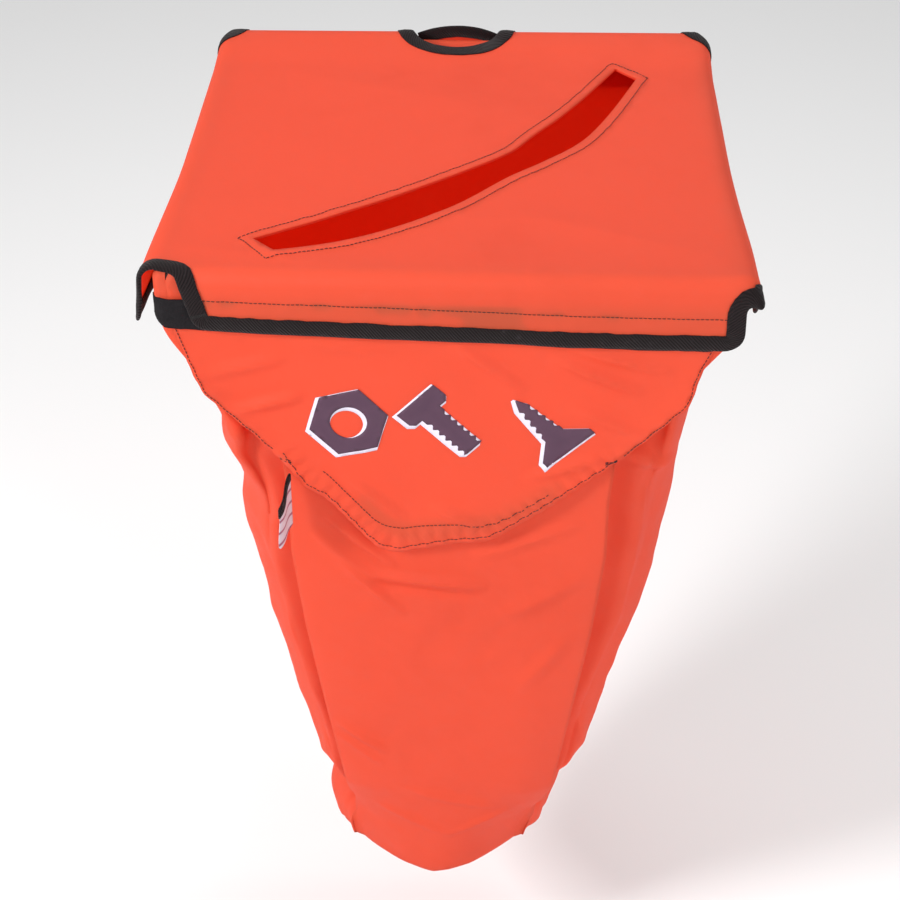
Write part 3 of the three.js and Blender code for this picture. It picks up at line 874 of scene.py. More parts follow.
@dataclass(frozen=True)
class Measures:
    """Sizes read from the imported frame, in millimetres."""

    half: float
    front: float
    tube: float
    wall: float
    lid: float
    top: float
    drop: float
    base: float
    hinge: float
    lid_hinge: float

    @classmethod
    def read(cls) -> "Measures":
        """Reads the boxes of the frame tubes, the lid, the yoke and the base."""

        def box(name: str) -> tuple[Vector, Vector]:
            """A CAD node's corners in millimetres."""
            low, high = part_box(name)
            return low / MM, high / MM

        right_low, right_high = box("frame_tube_right")
        front_low, front_high = box("frame_tube_front")
        yoke_low, _ = box("front_yoke_panel")
        lid_low, lid_high = box("lid_top")
        base_low, base_high = box("base_panel")
        _, flap_high = box("closure_flap")
        cloth = base_high.z - base_low.z
        half = (right_low.x + right_high.x) / 2
        front = (front_low.y + front_high.y) / 2
        joints = {j["name"]: j for j in frame["joints"]}
        return cls(
            half=half,
            front=front,
            tube=(right_high.x - right_low.x) / 2,
            wall=front - yoke_low.y - cloth / 2,
            lid=lid_high.x - cloth / 2 - half,
            top=lid_high.z - cloth / 2,
            drop=-lid_low.z,
            base=base_low.z,
            hinge=flap_high.z + 1,
            lid_hinge=joints["lid_open"]["pos_m"][1] / MM,
        )

    @property
    def middle(self) -> float:
        """The lid's middle, front to rear."""
        return self.front / 2

    @property
    def wall_x(self) -> float:
        """The side walls' distance from the middle."""
        return self.half + self.wall

    @property
    def wall_front(self) -> float:
        """The front wall's place."""
        return self.front - self.wall

    @property
    def depth(self) -> float:
        """Front wall to rear wall."""
        return -self.front + 2 * self.wall


# ------------------------------------------------------------------ lid


@dataclass
class Lid:
    """The slotted lid: one sheet folded down over the frame on all four sides."""

    sizes: Measures
    fold: float = 13.0
    hem: float = 8.0
    slot_rear: tuple[Pair, ...] = (
        (-0.667, -0.764), (-0.356, -0.542), (-0.053, -0.289), (0.178, -0.08),
        (0.284, 0.089), (0.422, 0.307), (0.613, 0.684),
    )
    slot_front: tuple[Pair, ...] = (
        (0.693, 0.591), (0.569, 0.253), (0.453, 0.018), (0.302, -0.156),
        (0.178, -0.28), (-0.044, -0.542), (-0.338, -0.751), (-0.587, -0.849),
    )
    moon_x: float = -7.0
    moon_reach: float = 42.0
    proud_ends: float = 2.0
    creases: tuple[Crease, ...] = (
        Crease((-215.0, -330.0), (215.0, -352.0), 46.0, 1.0),
        Crease((-200.0, -60.0), (60.0, -150.0), 60.0, 1.4),
        Crease((40.0, -330.0), (216.0, -408.0), 30.0, 1.1),
        Crease((-216.0, -395.0), (-60.0, -425.0), 24.0, 0.9),
        Crease((-180.0, -18.0), (180.0, -40.0), 40.0, -1.0),
    )

    def __post_init__(self) -> None:
        """Works out the fold lines."""
        s = self.sizes
        self.edge_x = s.half + s.lid
        self.edge_front = s.front - s.lid
        self.edge_rear = s.lid
        self.arc = self.fold * math.pi / 2
        self.fall = s.top - self.fold + s.drop
        self.flat_x = self.edge_x - self.fold + self.arc + self.fall
        self.flat_front = self.edge_front + self.fold - self.arc - self.fall
        self.flat_rear = self.edge_rear - self.fold + self.arc + self.fall
        self.edge_tree = tree_of(resample(self.slot(), 1.5, True))
        self.seam_tree = tree_of(resample(self.slot_seam(), 1.5, True))
        self.front_tree = tree_of(resample(self.seam_front(), 1.5, False))
        self.sheet = Sheet(self.place, self.outline(), [self.slot(), self.moon()], 4.0)

    def bend(self, beyond: float) -> Pair:
        """How far out and down the cloth is, at a distance past the start of a fold."""
        if beyond <= 0:
            return 0.0, 0.0
        if beyond < self.arc:
            angle = beyond / self.fold
            return self.fold * math.sin(angle), self.fold * (1 - math.cos(angle))
        return self.fold, self.fold + beyond - self.arc

    def place(self, a: float, b: float) -> Vector:
        """Folds the flat sheet over the frame."""
        s = self.sizes
        side = 1.0 if a > 0 else -1.0
        past_x = abs(a) - (self.edge_x - self.fold)
        past_front = (self.edge_front + self.fold) - b
        past_rear = b - (self.edge_rear - self.fold)
        out_x, down_x = self.bend(past_x)
        out_front, down_front = self.bend(past_front)
        out_rear, down_rear = self.bend(past_rear)
        x = a if past_x <= 0 else side * (self.edge_x - self.fold + out_x)
        y = b
        if past_front > 0:
            y = self.edge_front + self.fold - out_front
        if past_rear > 0:
            y = self.edge_rear - self.fold + out_rear
        z = s.top - down_x - down_front - down_rear
        flat = 1 - ease(max(past_x, past_front, past_rear) / 12 + 1)
        ahead = ease(1 - (y - self.edge_front) / 210)
        x += side * 6.5 * ahead * (abs(a) / self.edge_x) ** 3
        x, y = self.hang(x, y, z, side, past_x, past_front)
        if flat > 0:
            z += flat * self.relief(a, b)
        z += (7.0 + 2.0 * clamp(a / self.edge_x, -1, 1)) * ease((b + 70) / 66)
        z += 1.6 * hump((b - self.edge_front - 6) / 26) * hump((abs(a) - self.edge_x + 8) / 30)
        z += self.proud_ends * hump((abs(a - self.moon_x) - 45) / 13) * hump((b + 6) / 13)
        return Vector((x, y, z))

    def hang(
        self, x: float, y: float, z: float, side: float, past_x: float, past_front: float
    ) -> Pair:
        """Shapes the hanging flaps: shallow waves, and front ends of the side flaps that curl round."""
        s = self.sizes
        low = clamp((s.top - z) / (s.top + s.drop))
        if past_x > 0 and past_front < 10:
            start = self.edge_front + 16
            if y < start:
                turn = (start - y) / 13
                sweep = 13.0
                y = start - sweep * math.sin(turn)
                x -= side * sweep * (1 - math.cos(turn)) * ease(low * 2)
            flare = 0.5 if side < 0 else -4.0
            x += side * flare * low * hump((y - self.edge_front - 14) / 60)
            x += side * 1.2 * low * rough(y, 7.0, 60.0, 2.0 * side)
        if past_front > 0:
            y -= 1.4 * low * rough(x, 3.0, 55.0, 4.0) + 0.6 * low * low
            y += 1.0 * low * hump((x - 40) / 120)
            y += self.flap_dimples(x, z)
        return x, y

    def flap_dimples(self, x: float, z: float) -> float:
        """Pulls the cloth in along the front flap's seam, with puckers to both sides."""
        s = self.sizes
        fall = s.top - z - self.fold
        near = self.front_tree.find((x, self.edge_front + self.fold - self.arc - fall, 0))[2]
        return 0.4 * hump(near / 6) - 0.9 * rough(x, fall * 0.3, 9.0, 14.0) * hump(near / 11)

    def relief(self, a: float, b: float) -> float:
        """The lid top's sag and shallow creases."""
        s = self.sizes
        across = clamp(1 - (a / self.edge_x) ** 2)
        along = clamp(1 - ((b - s.middle) / (s.depth / 2)) ** 2)
        z = -3.0 * across * along
        z += sum(c.at(a, b) for c in self.creases)
        z += 0.8 * rough(a, b, 95.0, 1.0) * across
        z += 0.5 * rough(a, b, 38.0, 6.0) * across * along
        z += 0.6 * crumple(a, b * 1.6, 120.0, 9.0) * across
        return z + self.hem_lift(a, b)

    def outline(self) -> list[Pair]:
        """The lid's cut with its four corner notches, anticlockwise from the front left."""
        low, rear = self.flat_front, self.flat_rear
        return rounded([
            (-187, low + 7.5, 12), (-60, low + 3, 80), (90, low - 1.0, 80), (216, low - 2, 13),
            (215, self.edge_front - 13, 7), (227, self.edge_front - 8, 7),
            (self.flat_x - 8, self.edge_front + 38, 14), (self.flat_x, -9, 12), (214, -9, 20),
            (208, rear, 14), (-208, rear, 14), (-214, -9, 20), (-self.flat_x, -9, 12),
            (-self.flat_x + 5, self.edge_front + 8, 12), (-220, self.edge_front + 8, 9),
            (-199, self.edge_front + 5, 9),
        ])

    def slot(self) -> list[Pair]:
        """The S-shaped opening."""
        rear, front = self.slot_edges()
        return rear + front

    def moon(self) -> list[Pair]:
        """The half-moon cut-out over the rear tube."""
        points = []
        for i in range(48):
            angle = 2 * math.pi * i / 48
            deep = 36.0 if math.sin(angle) < 0 else 19.0
            points.append((self.moon_x + self.moon_reach * math.cos(angle), 8 + deep * math.sin(angle)))
        return points

    def seam_front(self) -> list[Pair]:
        """The stitch line along the front flap."""
        low = self.flat_front
        return smooth_path([(-192, low + 32), (-60, low + 29), (90, low + 25), (208, low + 24)], 10)

    def stitches(self) -> MeshData:
        """All the lid's topstitching."""
        data = MeshData()
        seam = self.slot_seam()
        half = len(self.slot_edges()[0])
        runs = [seam[:half], seam[half - 1:half + 1], seam[half:], [seam[-1], seam[0]], self.seam_front()]
        for side in (-1, 1):
            x = side * (self.flat_x - 27)
            runs.append([(x, self.edge_front + 22), (x, -22)])
        runs.append([(-195, self.flat_rear - 27), (195, self.flat_rear - 27)])
        for run in runs:
            part = stitch_run(self.sheet, run)
            data.add(part.verts, part.faces, part.cloth)
        return data

    def slot_edges(self) -> tuple[list[Pair], list[Pair]]:
        """The slot's rear and front edges, from left to right and back."""
        reach = self.sizes.half + 10
        middle = self.sizes.middle
        return tuple(
            smooth_path([(a * reach, middle + b * reach) for a, b in points], 6)
            for points in (self.slot_rear, self.slot_front)
        )

    def slot_seam(self) -> list[Pair]:
        """The stitch line round the slot, square at its ends."""
        seam: list[Pair] = []
        for edge in self.slot_edges():
            moved = [Vector(p) for p in shifted(edge, self.hem, False)]
            moved[0] += (moved[0] - moved[1]).normalized() * self.hem
            moved[-1] += (moved[-1] - moved[-2]).normalized() * self.hem
            seam += [(v.x, v.y) for v in moved]
        return seam

    def hem_lift(self, a: float, b: float) -> float:
        """The doubled hem round the slot: a low band with a sewn groove and small puckers."""
        near, seam = (self.edge_tree.find((a, b, 0))[2], self.seam_tree.find((a, b, 0))[2])
        if near > 30:
            return 0.0
        band = 1.5 * (1 - ease((near - self.hem) / 3))
        groove = 0.5 * hump(seam / 4)
        pucker = 0.8 * rough(a, b, 7.0, 12.0) * hump(seam / 9)
        return band - groove + pucker

    def build(self) -> None:
        """Makes the lid's pieces."""
        data = self.sheet.mesh()
        cloth = data.object("lid_cloth", Finish.ORANGE, 1.0)
        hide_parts("lid_top", "lid_rear_flap")
        outer = Binding().wrap(self.sheet, self.sheet.outline, True, 1.0)
        tape = outer.object("lid_edge_tape", Finish.TAPE)
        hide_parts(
            "lid_binding_front", "lid_binding_left", "lid_binding_right",
            "corner_binding_left", "corner_binding_right", "rear_flap_binding",
        )
        moon = [(x, y) for x, y in reversed(self.sheet.holes[1])]
        ring = Binding(12.5, 9.0).wrap(self.sheet, moon, True, 4.0)
        crescent = ring.object("half_moon_tape", Finish.TAPE)
        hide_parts("half_moon_binding")
        thread = self.stitches().object("lid_stitching", Finish.THREAD)
        for piece in (cloth, tape, crescent, thread):
            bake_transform(piece)
        self.sheet.flat_size()
        self.sheet.flat_area()
        self.facing()
        self.dark_under_band()
        log.info("lid: %d cloth faces", len(data.faces))

    def dark_under_band(self) -> None:
        """A dark strip on the flap's inner side, whose wavy lower edge shows below the binding along the
        right half.
        """
        low = self.flat_front

        def behind(a: float, b: float) -> Vector:
            """On the flap's inner side."""
            return self.place(a, b) - self.sheet.normal(a, b) * 2.3

        dip = smooth_path([
            (20, low + 1), (60, low - 2.5), (110, low - 4.5), (170, low - 5.0), (196, low - 5.5),
        ])
        edge = [(x, y + 0.7 * rough(x, 0.0, 6.0, 17.0)) for x, y in dip]
        sheet = Sheet(behind, edge + [(200, low + 12), (20, low + 12)], (), 2.5, -1.0)
        piece = sheet.mesh().object("flap_dark_under_band", Finish.TAPE, 1.0)
        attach(piece, "lid")

    def facing(self) -> None:
        """The strip of cloth sewn under the slot's edge."""
        strip = 12.0
        hole = resample(self.slot(), 4.0, True)
        outer = shifted(hole, strip, True)
        if inside(outer[0], hole):
            outer = shifted(hole, -strip, True)

        def under(a: float, b: float) -> Vector:
            """Just beneath the lid cloth."""
            return self.place(a, b) - Vector((0, 0, 1.4))

        sheet = Sheet(under, outer, [hole], 4.0)
        data = sheet.mesh()
        piece = data.object("slot_facing_cloth", Finish.INSIDE, 0.8)
        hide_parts("slot_facing")
        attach(piece, "lid")
        around = sheet.flat_area() / (strip * MM)


# ------------------------------------------------------------------ bag body

Level = tuple[float, Pair, Pair, Pair, Pair]


@dataclass
class Bag:
    """The lofted shell of gussets, rear panel, lower front panel and base."""

    sizes: Measures
    levels: tuple[Level, ...] = (
        (-0.007, (0.955, 0.0), (1.0, 0.083), (1.0, 0.5), (1.0, 1.0)),
        (0.036, (0.95, 0.0), (1.0, 0.07), (1.0, 0.5), (1.0, 1.0)),
        (0.064, (0.935, 0.0), (0.998, 0.06), (1.0, 0.5), (1.0, 1.0)),
        (0.086, (0.905, 0.0), (0.985, 0.072), (0.996, 0.5), (0.996, 1.0)),
        (0.14, (0.845, 0.0), (0.96, 0.1), (0.991, 0.5), (0.978, 0.98)),
        (0.163, (0.778, 0.0), (0.925, 0.1), (0.984, 0.49), (0.968, 0.967)),
        (0.223, (0.597, 0.003), (0.822, 0.083), (0.955, 0.466), (0.937, 0.941)),
        (0.286, (0.583, 0.012), (0.789, 0.117), (0.915, 0.444), (0.901, 0.91)),
        (0.371, (0.585, 0.02), (0.757, 0.139), (0.856, 0.421), (0.843, 0.869)),
        (0.5, (0.55, 0.04), (0.676, 0.162), (0.793, 0.399), (0.744, 0.806)),
        (0.643, (0.496, 0.068), (0.613, 0.185), (0.735, 0.387), (0.658, 0.739)),
        (0.814, (0.433, 0.115), (0.532, 0.207), (0.622, 0.365), (0.541, 0.66)),
        (0.914, (0.401, 0.19), (0.469, 0.263), (0.518, 0.354), (0.464, 0.615)),
        (1.0, (0.338, 0.207), (0.415, 0.268), (0.446, 0.354), (0.383, 0.547)),
    )
    centre: tuple[Pair, ...] = (
        (0.2, 0.0097), (0.286, 0.0097), (0.371, 0.0178), (0.5, 0.038),
        (0.643, 0.063), (0.814, 0.097), (0.914, 0.119), (1.0, 0.139),
    )
    hem: tuple[Pair, ...] = (
        (-0.59, 0.226), (-0.51, 0.268), (-0.437, 0.284), (-0.342, 0.32), (-0.257, 0.351), (-0.18, 0.359),
        (-0.104, 0.353), (0.032, 0.344), (0.144, 0.339), (0.261, 0.314), (0.419, 0.274), (0.595, 0.23),
    )
    side_columns: int = 66
    rear_columns: int = 26
    front_columns: int = 84
    rows: int = 190
    hem_rows: int = 10
    creases: tuple[Crease, ...] = (
        Crease((-104.0, -218.0), (-42.0, -274.0), 9.0, 5.5),
        Crease((-112.0, -240.0), (-60.0, -286.0), 8.0, 3.4),
        Crease((-93.0, -264.0), (-36.0, -327.0), 8.0, 5.0),
        Crease((-73.0, -280.0), (34.0, -293.0), 10.0, 6.0),
        Crease((-76.0, -292.0), (30.0, -306.0), 9.0, -4.0),
        Crease((-102.0, -474.0), (-54.0, -512.0), 9.0, 4.6),
        Crease((-100.0, -496.0), (-60.0, -530.0), 8.0, 3.0),
        Crease((20.0, -262.0), (112.0, -222.0), 13.0, 4.2),
        Crease((44.0, -330.0), (116.0, -280.0), 16.0, 3.4),
        Crease((60.0, -420.0), (104.0, -352.0), 14.0, 3.0),
        Crease((-50.0, -560.0), (50.0, -596.0), 13.0, 3.6),
        Crease((-72.0, -600.0), (10.0, -640.0), 11.0, 3.4),
        Crease((0.0, -640.0), (62.0, -604.0), 10.0, 3.0),
    )
    yoke_creases: tuple[Crease, ...] = (
        Crease((2.0, -48.0), (60.0, -92.0), 9.0, 5.0),
        Crease((77.0, -60.0), (150.0, -92.0), 9.0, 6.4),
        Crease((88.0, -50.0), (172.0, -73.0), 8.0, 5.0),
        Crease((94.0, -104.0), (152.0, -132.0), 9.0, 4.4),
        Crease((-168.0, -116.0), (-112.0, -99.0), 9.0, 6.0),
        Crease((-184.0, -80.0), (-124.0, -66.0), 10.0, 4.0),
        Crease((-14.0, -204.0), (28.0, -222.0), 8.0, 5.4),
        Crease((-84.0, -176.0), (-34.0, -218.0), 8.0, 4.6),
        Crease((60.0, -176.0), (124.0, -152.0), 9.0, 5.0),
        Crease((-120.0, -48.0), (-40.0, -60.0), 12.0, 3.0),
    )

    def level(self, share: float, column: int) -> Pair:
        """One guide point at a height share, in millimetres."""
        s = self.sizes
        rows = self.levels
        k = 0
        while k < len(rows) - 2 and share > rows[k + 1][0]:
            k += 1
        t = clamp((share - rows[k][0]) / (rows[k + 1][0] - rows[k][0]))
        a, b = rows[k][column], rows[k + 1][column]
        return lerp(a[0], b[0], t) * s.wall_x, s.wall_front + lerp(a[1], b[1], t) * s.depth

    def hem_z(self, x: float) -> float:
        """The height of the V-shaped hem at x."""
        s = self.sizes
        return s.base * table([(a * s.wall_x, b) for a, b in self.hem], x)

    def side_point(self, t: float, share: float) -> Pair:
        """Right-hand gusset in plan: t runs 0 at the front edge to 1 at the rear corner."""
        front, shoulder, side, rear = (self.level(share, c) for c in (1, 2, 3, 4))
        s = self.sizes
        square = 1 - ease((share - 0.03) / 0.1)
        corner = [
            (s.wall_x - 3.4, s.wall_front + 1.0),
            (s.wall_x - 1.0, s.wall_front + 3.4),
            (s.wall_x, s.wall_front + 9.0),
        ]
        tuck = ease((share - 0.215) / 0.05) * (1 - ease((share - 0.86) / 0.12))
        inner = [
            (front[0] - 10.0 * tuck, front[1] + 17.0 * tuck),
            (lerp(front[0], shoulder[0], 0.22) - 7.0 * tuck, lerp(front[1], shoulder[1], 0.34) + 11 * tuck),
            (lerp(front[0], shoulder[0], 0.6), lerp(front[1], shoulder[1], 0.58)),
        ]
        guide = [front]
        for c, i in zip(corner, inner):
            guide.append((lerp(i[0], c[0], square), lerp(i[1], c[1], square)))
        guide += [shoulder, side, rear]
        spans = (0.0, 0.06, 0.13, 0.2, 0.34, 0.64, 1.0)
        k = 0
        while k < len(spans) - 2 and t > spans[k + 1]:
            k += 1
        u = clamp((t - spans[k]) / (spans[k + 1] - spans[k]))
        p0, p1 = guide[max(k - 1, 0)], guide[k]
        p2, p3 = guide[k + 1], guide[min(k + 2, len(guide) - 1)]
        weights = (
            -0.5 * u + u * u - 0.5 * u**3,
            1 - 2.5 * u * u + 1.5 * u**3,
            0.5 * u + 2 * u * u - 1.5 * u**3,
            -0.5 * u * u + 0.5 * u**3,
        )
        points = (p0, p1, p2, p3)
        x = sum(w * p[0] for w, p in zip(weights, points))
        y = sum(w * p[1] for w, p in zip(weights, points))
        return x, y

    def folds(self, t: float, z: float, side: float) -> float:
        """Outward lift of a gusset: long folds that start at the bar tacks and die out below."""
        s = self.sizes
        share = z / s.base
        if share < 0.07:
            return 0.0
        grow = ease((share - 0.07) / 0.2) * (1 - 0.6 * ease((share - 0.8) / 0.2))
        seed = 11.0 if side > 0 else 23.0
        slant = z * (0.14 if side > 0 else -0.1)
        lift = 3.4 * rough(t * 210 + slant, z * 0.24, 34.0, seed) * grow
        lift += 1.6 * rough(t * 210 + slant, z * 0.5, 14.0, seed + 3) * grow * hump((t - 0.3) / 0.5)
        drift = 0.07 * math.sin(share * 7 + seed)
        long = grow * (1 - ease((share - 0.72) / 0.2))
        lift += long * (5.5 * hump((t - 0.4 - drift) / 0.12) - 5.0 * hump((t - 0.24 - drift) / 0.09))
        lift += 2.8 * crumple(t * 300 + slant, z * 0.6, 60.0, seed + 7) * grow
        lift += self.pleats(t, share, side)
        return lift * (1 - 0.7 * hump((t - 1) / 0.08)) * ease(t / 0.06)

    def pleats(self, t: float, share: float, side: float) -> float:
        """The short sharp folds that radiate from a bar tack into the gusset."""
        if side > 0:
            lift = 9.0 * hump((share - 0.245 - 0.1 * (t - 0.2)) / 0.02) * hump((t - 0.24) / 0.14)
            lift -= 18.0 * hump((share - 0.213) / 0.022) * hump((t - 0.12) / 0.11)
        else:
            lift = 6.0 * hump((share - 0.2 - 0.16 * (t - 0.2)) / 0.018) * hump((t - 0.22) / 0.14)
            lift -= 14.0 * hump((share - 0.208) / 0.02) * hump((t - 0.13) / 0.1)
        return lift

    def sway(self, share: float, side: float) -> float:
        """How much wider one side hangs than the even shape."""
        gain = (7.5 if side > 0 else 4.0) * hump((share - 0.5) / 0.22)
        gain -= 27.0 * hump((share - 0.135) / 0.105) if side > 0 else 16.0 * hump((share - 0.122) / 0.09)
        gain -= 5.0 * hump((share - 0.91) / 0.06) if side < 0 else 9.0 * hump((share - 0.85) / 0.08)
        late = 0.06 if side < 0 else 0.0
        gain += 8.0 * ease((share - 0.86 - late / 2) / 0.1) - side * 11.0 * ease((share - 0.82 - late) / 0.12)
        return gain - (9.0 if side < 0 else 0.0) * (hump((share - 0.2) / 0.06) + hump((share - 0.33) / 0.1))

    def body_point(self, column: float, z: float, side: float) -> Vector:
        """A point of a gusset's outer wall."""
        s = self.sizes
        share = z / s.base
        x, y = self.side_point(column, share)
        x1, y1 = self.side_point(clamp(column + 0.01), share)
        x0, y0 = self.side_point(clamp(column - 0.01), share)
        out = Vector((y1 - y0, x0 - x1)).normalized()
        lift = self.folds(column, z, side)
        rear = 1 - ease((column - 0.55) / 0.45)
        wide = self.sway(share, side) * lerp(ease(column / 0.25), rear, ease((column - 0.3) / 0.3))
        front_edge = 1 - ease(column / 0.25)
        if share > 0.8:
            wide += self.sway(share, side) * front_edge * ease((share - 0.8) / 0.12)
        if side > 0:
            wide -= 6.0 * hump((share - 0.1) / 0.07) * front_edge
        return Vector((side * (x + out.x * lift + wide), y + out.y * lift, z))

    def rear_point(self, t: float, z: float) -> Vector:
        """A point of the rear panel; t runs 0 at the right corner to 1 at the left."""
        s = self.sizes
        share = z / s.base
        x, y = self.side_point(1.0, share)
        across = 1 - 2 * t
        grow = ease((share - 0.08) / 0.25)
        sag = -6.0 * (1 - across**2) * grow * (1 - ease((share - 0.8) / 0.2))
        lift = 2.4 * rough(t * 300, z * 0.35, 48.0, 31.0) * grow * (1 - across**4)
        lift += 2.6 * crumple(t * 300 + z * 0.3, z * 0.7, 70.0, 35.0) * grow * (1 - across**6)
        return Vector((across * x, y + sag + lift, z))

    def front_point(self, t: float, z: float) -> Vector:
        """A point of the lower front panel; t runs 0 at the left edge to 1 at the right."""
        s = self.sizes
        share = z / s.base
        edge_x, edge_y = self.side_point(0.0, share)
        middle = s.wall_front + table(self.centre, share) * s.depth
        across = 2 * t - 1
        y = lerp(middle, max(edge_y, middle), across**2)
        belly = ease((share - 0.32) / 0.12) * (1 - ease((share - 0.78) / 0.2))
        y -= 5.5 * belly * (1 - across**4)
        y -= sum(c.at(across * edge_x, z) for c in self.creases)
        grow = ease((share - 0.34) / 0.1)
        x = across * edge_x
        fade = grow * (1 - across**6)
        y -= (1.6 * rough(x, z * 0.5, 46.0, 41.0) + 1.5 * crumple(x - z * 0.4, z * 0.8, 62.0, 43.0)) * fade
        y -= 0.6 * crumple(x + z * 0.3, z, 25.0, 47.0) * fade
        shift = -11.0 * ease((share - 0.86) / 0.12)
        return Vector((across * edge_x + shift, y, z))

    def loop(self, z: float) -> list[Vector]:
        """The open loop from the right front edge round the rear to the left front edge."""
        columns = [(i / self.side_columns) ** 1.5 for i in range(self.side_columns + 1)]
        points = [self.body_point(t, z, 1.0) for t in columns]
        for i in range(1, self.rear_columns):
            points.append(self.rear_point(i / self.rear_columns, z))
        points += [self.body_point(t, z, -1.0) for t in reversed(columns)]
        return [self.settled(p) for p in points]

    def settled(self, p: Vector) -> Vector:
        """Lifts the bottom's corners, where the base seam is pulled up."""
        share = p.z / self.sizes.base
        low = ease((share - 0.8) / 0.2)
        if low <= 0:
            return p
        off = abs(p.x + 16) / 90
        return p + Vector((0, 0, 23.0 * low * clamp(off) ** 1.2))

    def over_tube(self, wall: list[Vector], turn: float, down: float) -> list[Vector]:
        """The hem's loop at one turn over the tube, and then down inside it."""
        s = self.sizes
        result = []
        for p in wall:
            cx = clamp(p.x, -s.half, s.half)
            cy = clamp(p.y, s.front, 0.0)
            out = Vector((p.x - cx, p.y - cy))
            reach = out.length
            if reach < 1e-6:
                result.append(Vector((p.x, p.y, p.z)))
                continue
            out /= reach
            u = s.wall * math.cos(turn)
            if u >= 0:
                x, y = cx + out.x * u, cy + out.y * u
            else:
                sx = math.copysign(1, p.x) if abs(p.x) > s.half - 0.01 else 0.0
                sy = 1.0 if p.y > -0.01 else (-1.0 if p.y < s.front + 0.01 else 0.0)
                x, y = cx + sx * u, cy + sy * u
            result.append(Vector((x, y, s.wall * math.sin(turn) - down)))
        return result

    def shell(self) -> MeshData:
        """The whole shell, from the hem inside the tubes down to the middle of the base."""
        s = self.sizes
        heights = [s.base * (i / self.rows) for i in range(self.rows + 1)]
        wall = self.loop(-0.01)
        grid = [self.over_tube(wall, math.pi, 14.0 - 4 * k) for k in range(3)]
        for k in range(self.hem_rows, 0, -1):
            grid.append(self.over_tube(wall, math.pi * k / self.hem_rows, 0.0))
        hem_count = len(grid)
        grid += [self.loop(z) for z in heights]
        columns = len(grid[0])
        data = MeshData()
        for j, ring in enumerate(grid):
            z = heights[j - hem_count] if j >= hem_count else 0.0
            rim = hump((z - s.base) / 30) if j >= hem_count else 0.3
            for i, p in enumerate(ring):
                data.verts.append(p)
                data.cloth.append((i * 8 * MM, (j * 6.2) * MM, rim))
        for j in range(len(grid) - 1):
            for i in range(columns - 1):
                a = j * columns + i
                data.faces.append((a, a + columns, a + columns + 1, a + 1))
        self.add_front(data, grid, hem_count, heights, columns)
        return data

    def add_front(
        self, data: MeshData, grid: list, hem_count: int, heights: list[float], columns: int
    ) -> None:
        """Adds the lower front panel below the mouth, and the base."""
        s = self.sizes
        first = next(i for i, z in enumerate(heights) if z <= 0.223 * s.base)
        settle = 0.45 * s.base
        ids: list[list[int]] = []
        count = self.front_columns
        for j in range(first, len(heights)):
            z = heights[j]
            row = [(hem_count + j) * columns + columns - 1]
            for i in range(1, count):
                t = i / count
                x = (2 * t - 1) * self.side_point(0.0, 0.25)[0]
                mouth = min(heights[first], self.hem_z(x) + 26)
                share = clamp((z - heights[first]) / (settle - heights[first]))
                level = lerp(mouth, settle, share) if z > settle else z
                p = self.settled(self.front_point(t, level))
                row.append(len(data.verts))
                data.verts.append(p)
                data.cloth.append((i * 7 * MM, level * MM, hump((z - s.base) / 30)))
            row.append((hem_count + j) * columns)
            ids.append(row)
        for upper, lower in zip(ids, ids[1:]):
            for i in range(count):
                data.faces.append((upper[i], lower[i], lower[i + 1], upper[i + 1]))
        self.add_base(data, ids[-1], [(hem_count + len(heights) - 1) * columns + i for i in range(columns)])

    def add_base(self, data: MeshData, front: list[int], around: list[int]) -> None:
        """Closes the bottom with rings that shrink to the middle."""
        ring = front[:-1] + around[:-1]
        points = [data.verts[i] for i in ring]
        centre = sum(points, Vector()) / len(points)
        previous = ring
        for k in range(1, 7):
            share = k / 7
            row = []
            for p in points:
                q = p.lerp(centre, share)
                row.append(len(data.verts))
                dish = 2.5 * ease(share * 2)
                data.verts.append(Vector((q.x, q.y, p.z + dish)))
                data.cloth.append((q.x * MM, q.y * MM, 1 - share))
            for i in range(len(ring)):
                n = (i + 1) % len(ring)
                data.faces.append((previous[i], row[i], row[n], previous[n]))
            previous = row
        middle = len(data.verts)
        data.verts.append(centre + Vector((0, 0, 2.5)))
        data.cloth.append((centre.x * MM, centre.y * MM, 0.0))
        for i in range(len(ring)):
            data.faces.append((previous[i], middle, previous[(i + 1) % len(ring)]))

    def build(self) -> None:
        """Makes the shell."""
        data = self.shell()
        shell = data.object("bag_shell", Finish.ORANGE, 0.9)
        panels = ("left_gusset", "right_gusset", "rear_panel", "front_lower_panel", "base_panel")
        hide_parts(*panels)
        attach(shell, "bag")
        log.info("bag shell: %d faces, %.3f square metres", len(data.faces), data.area())


# ------------------------------------------------------------------ upper front panel and closure flap


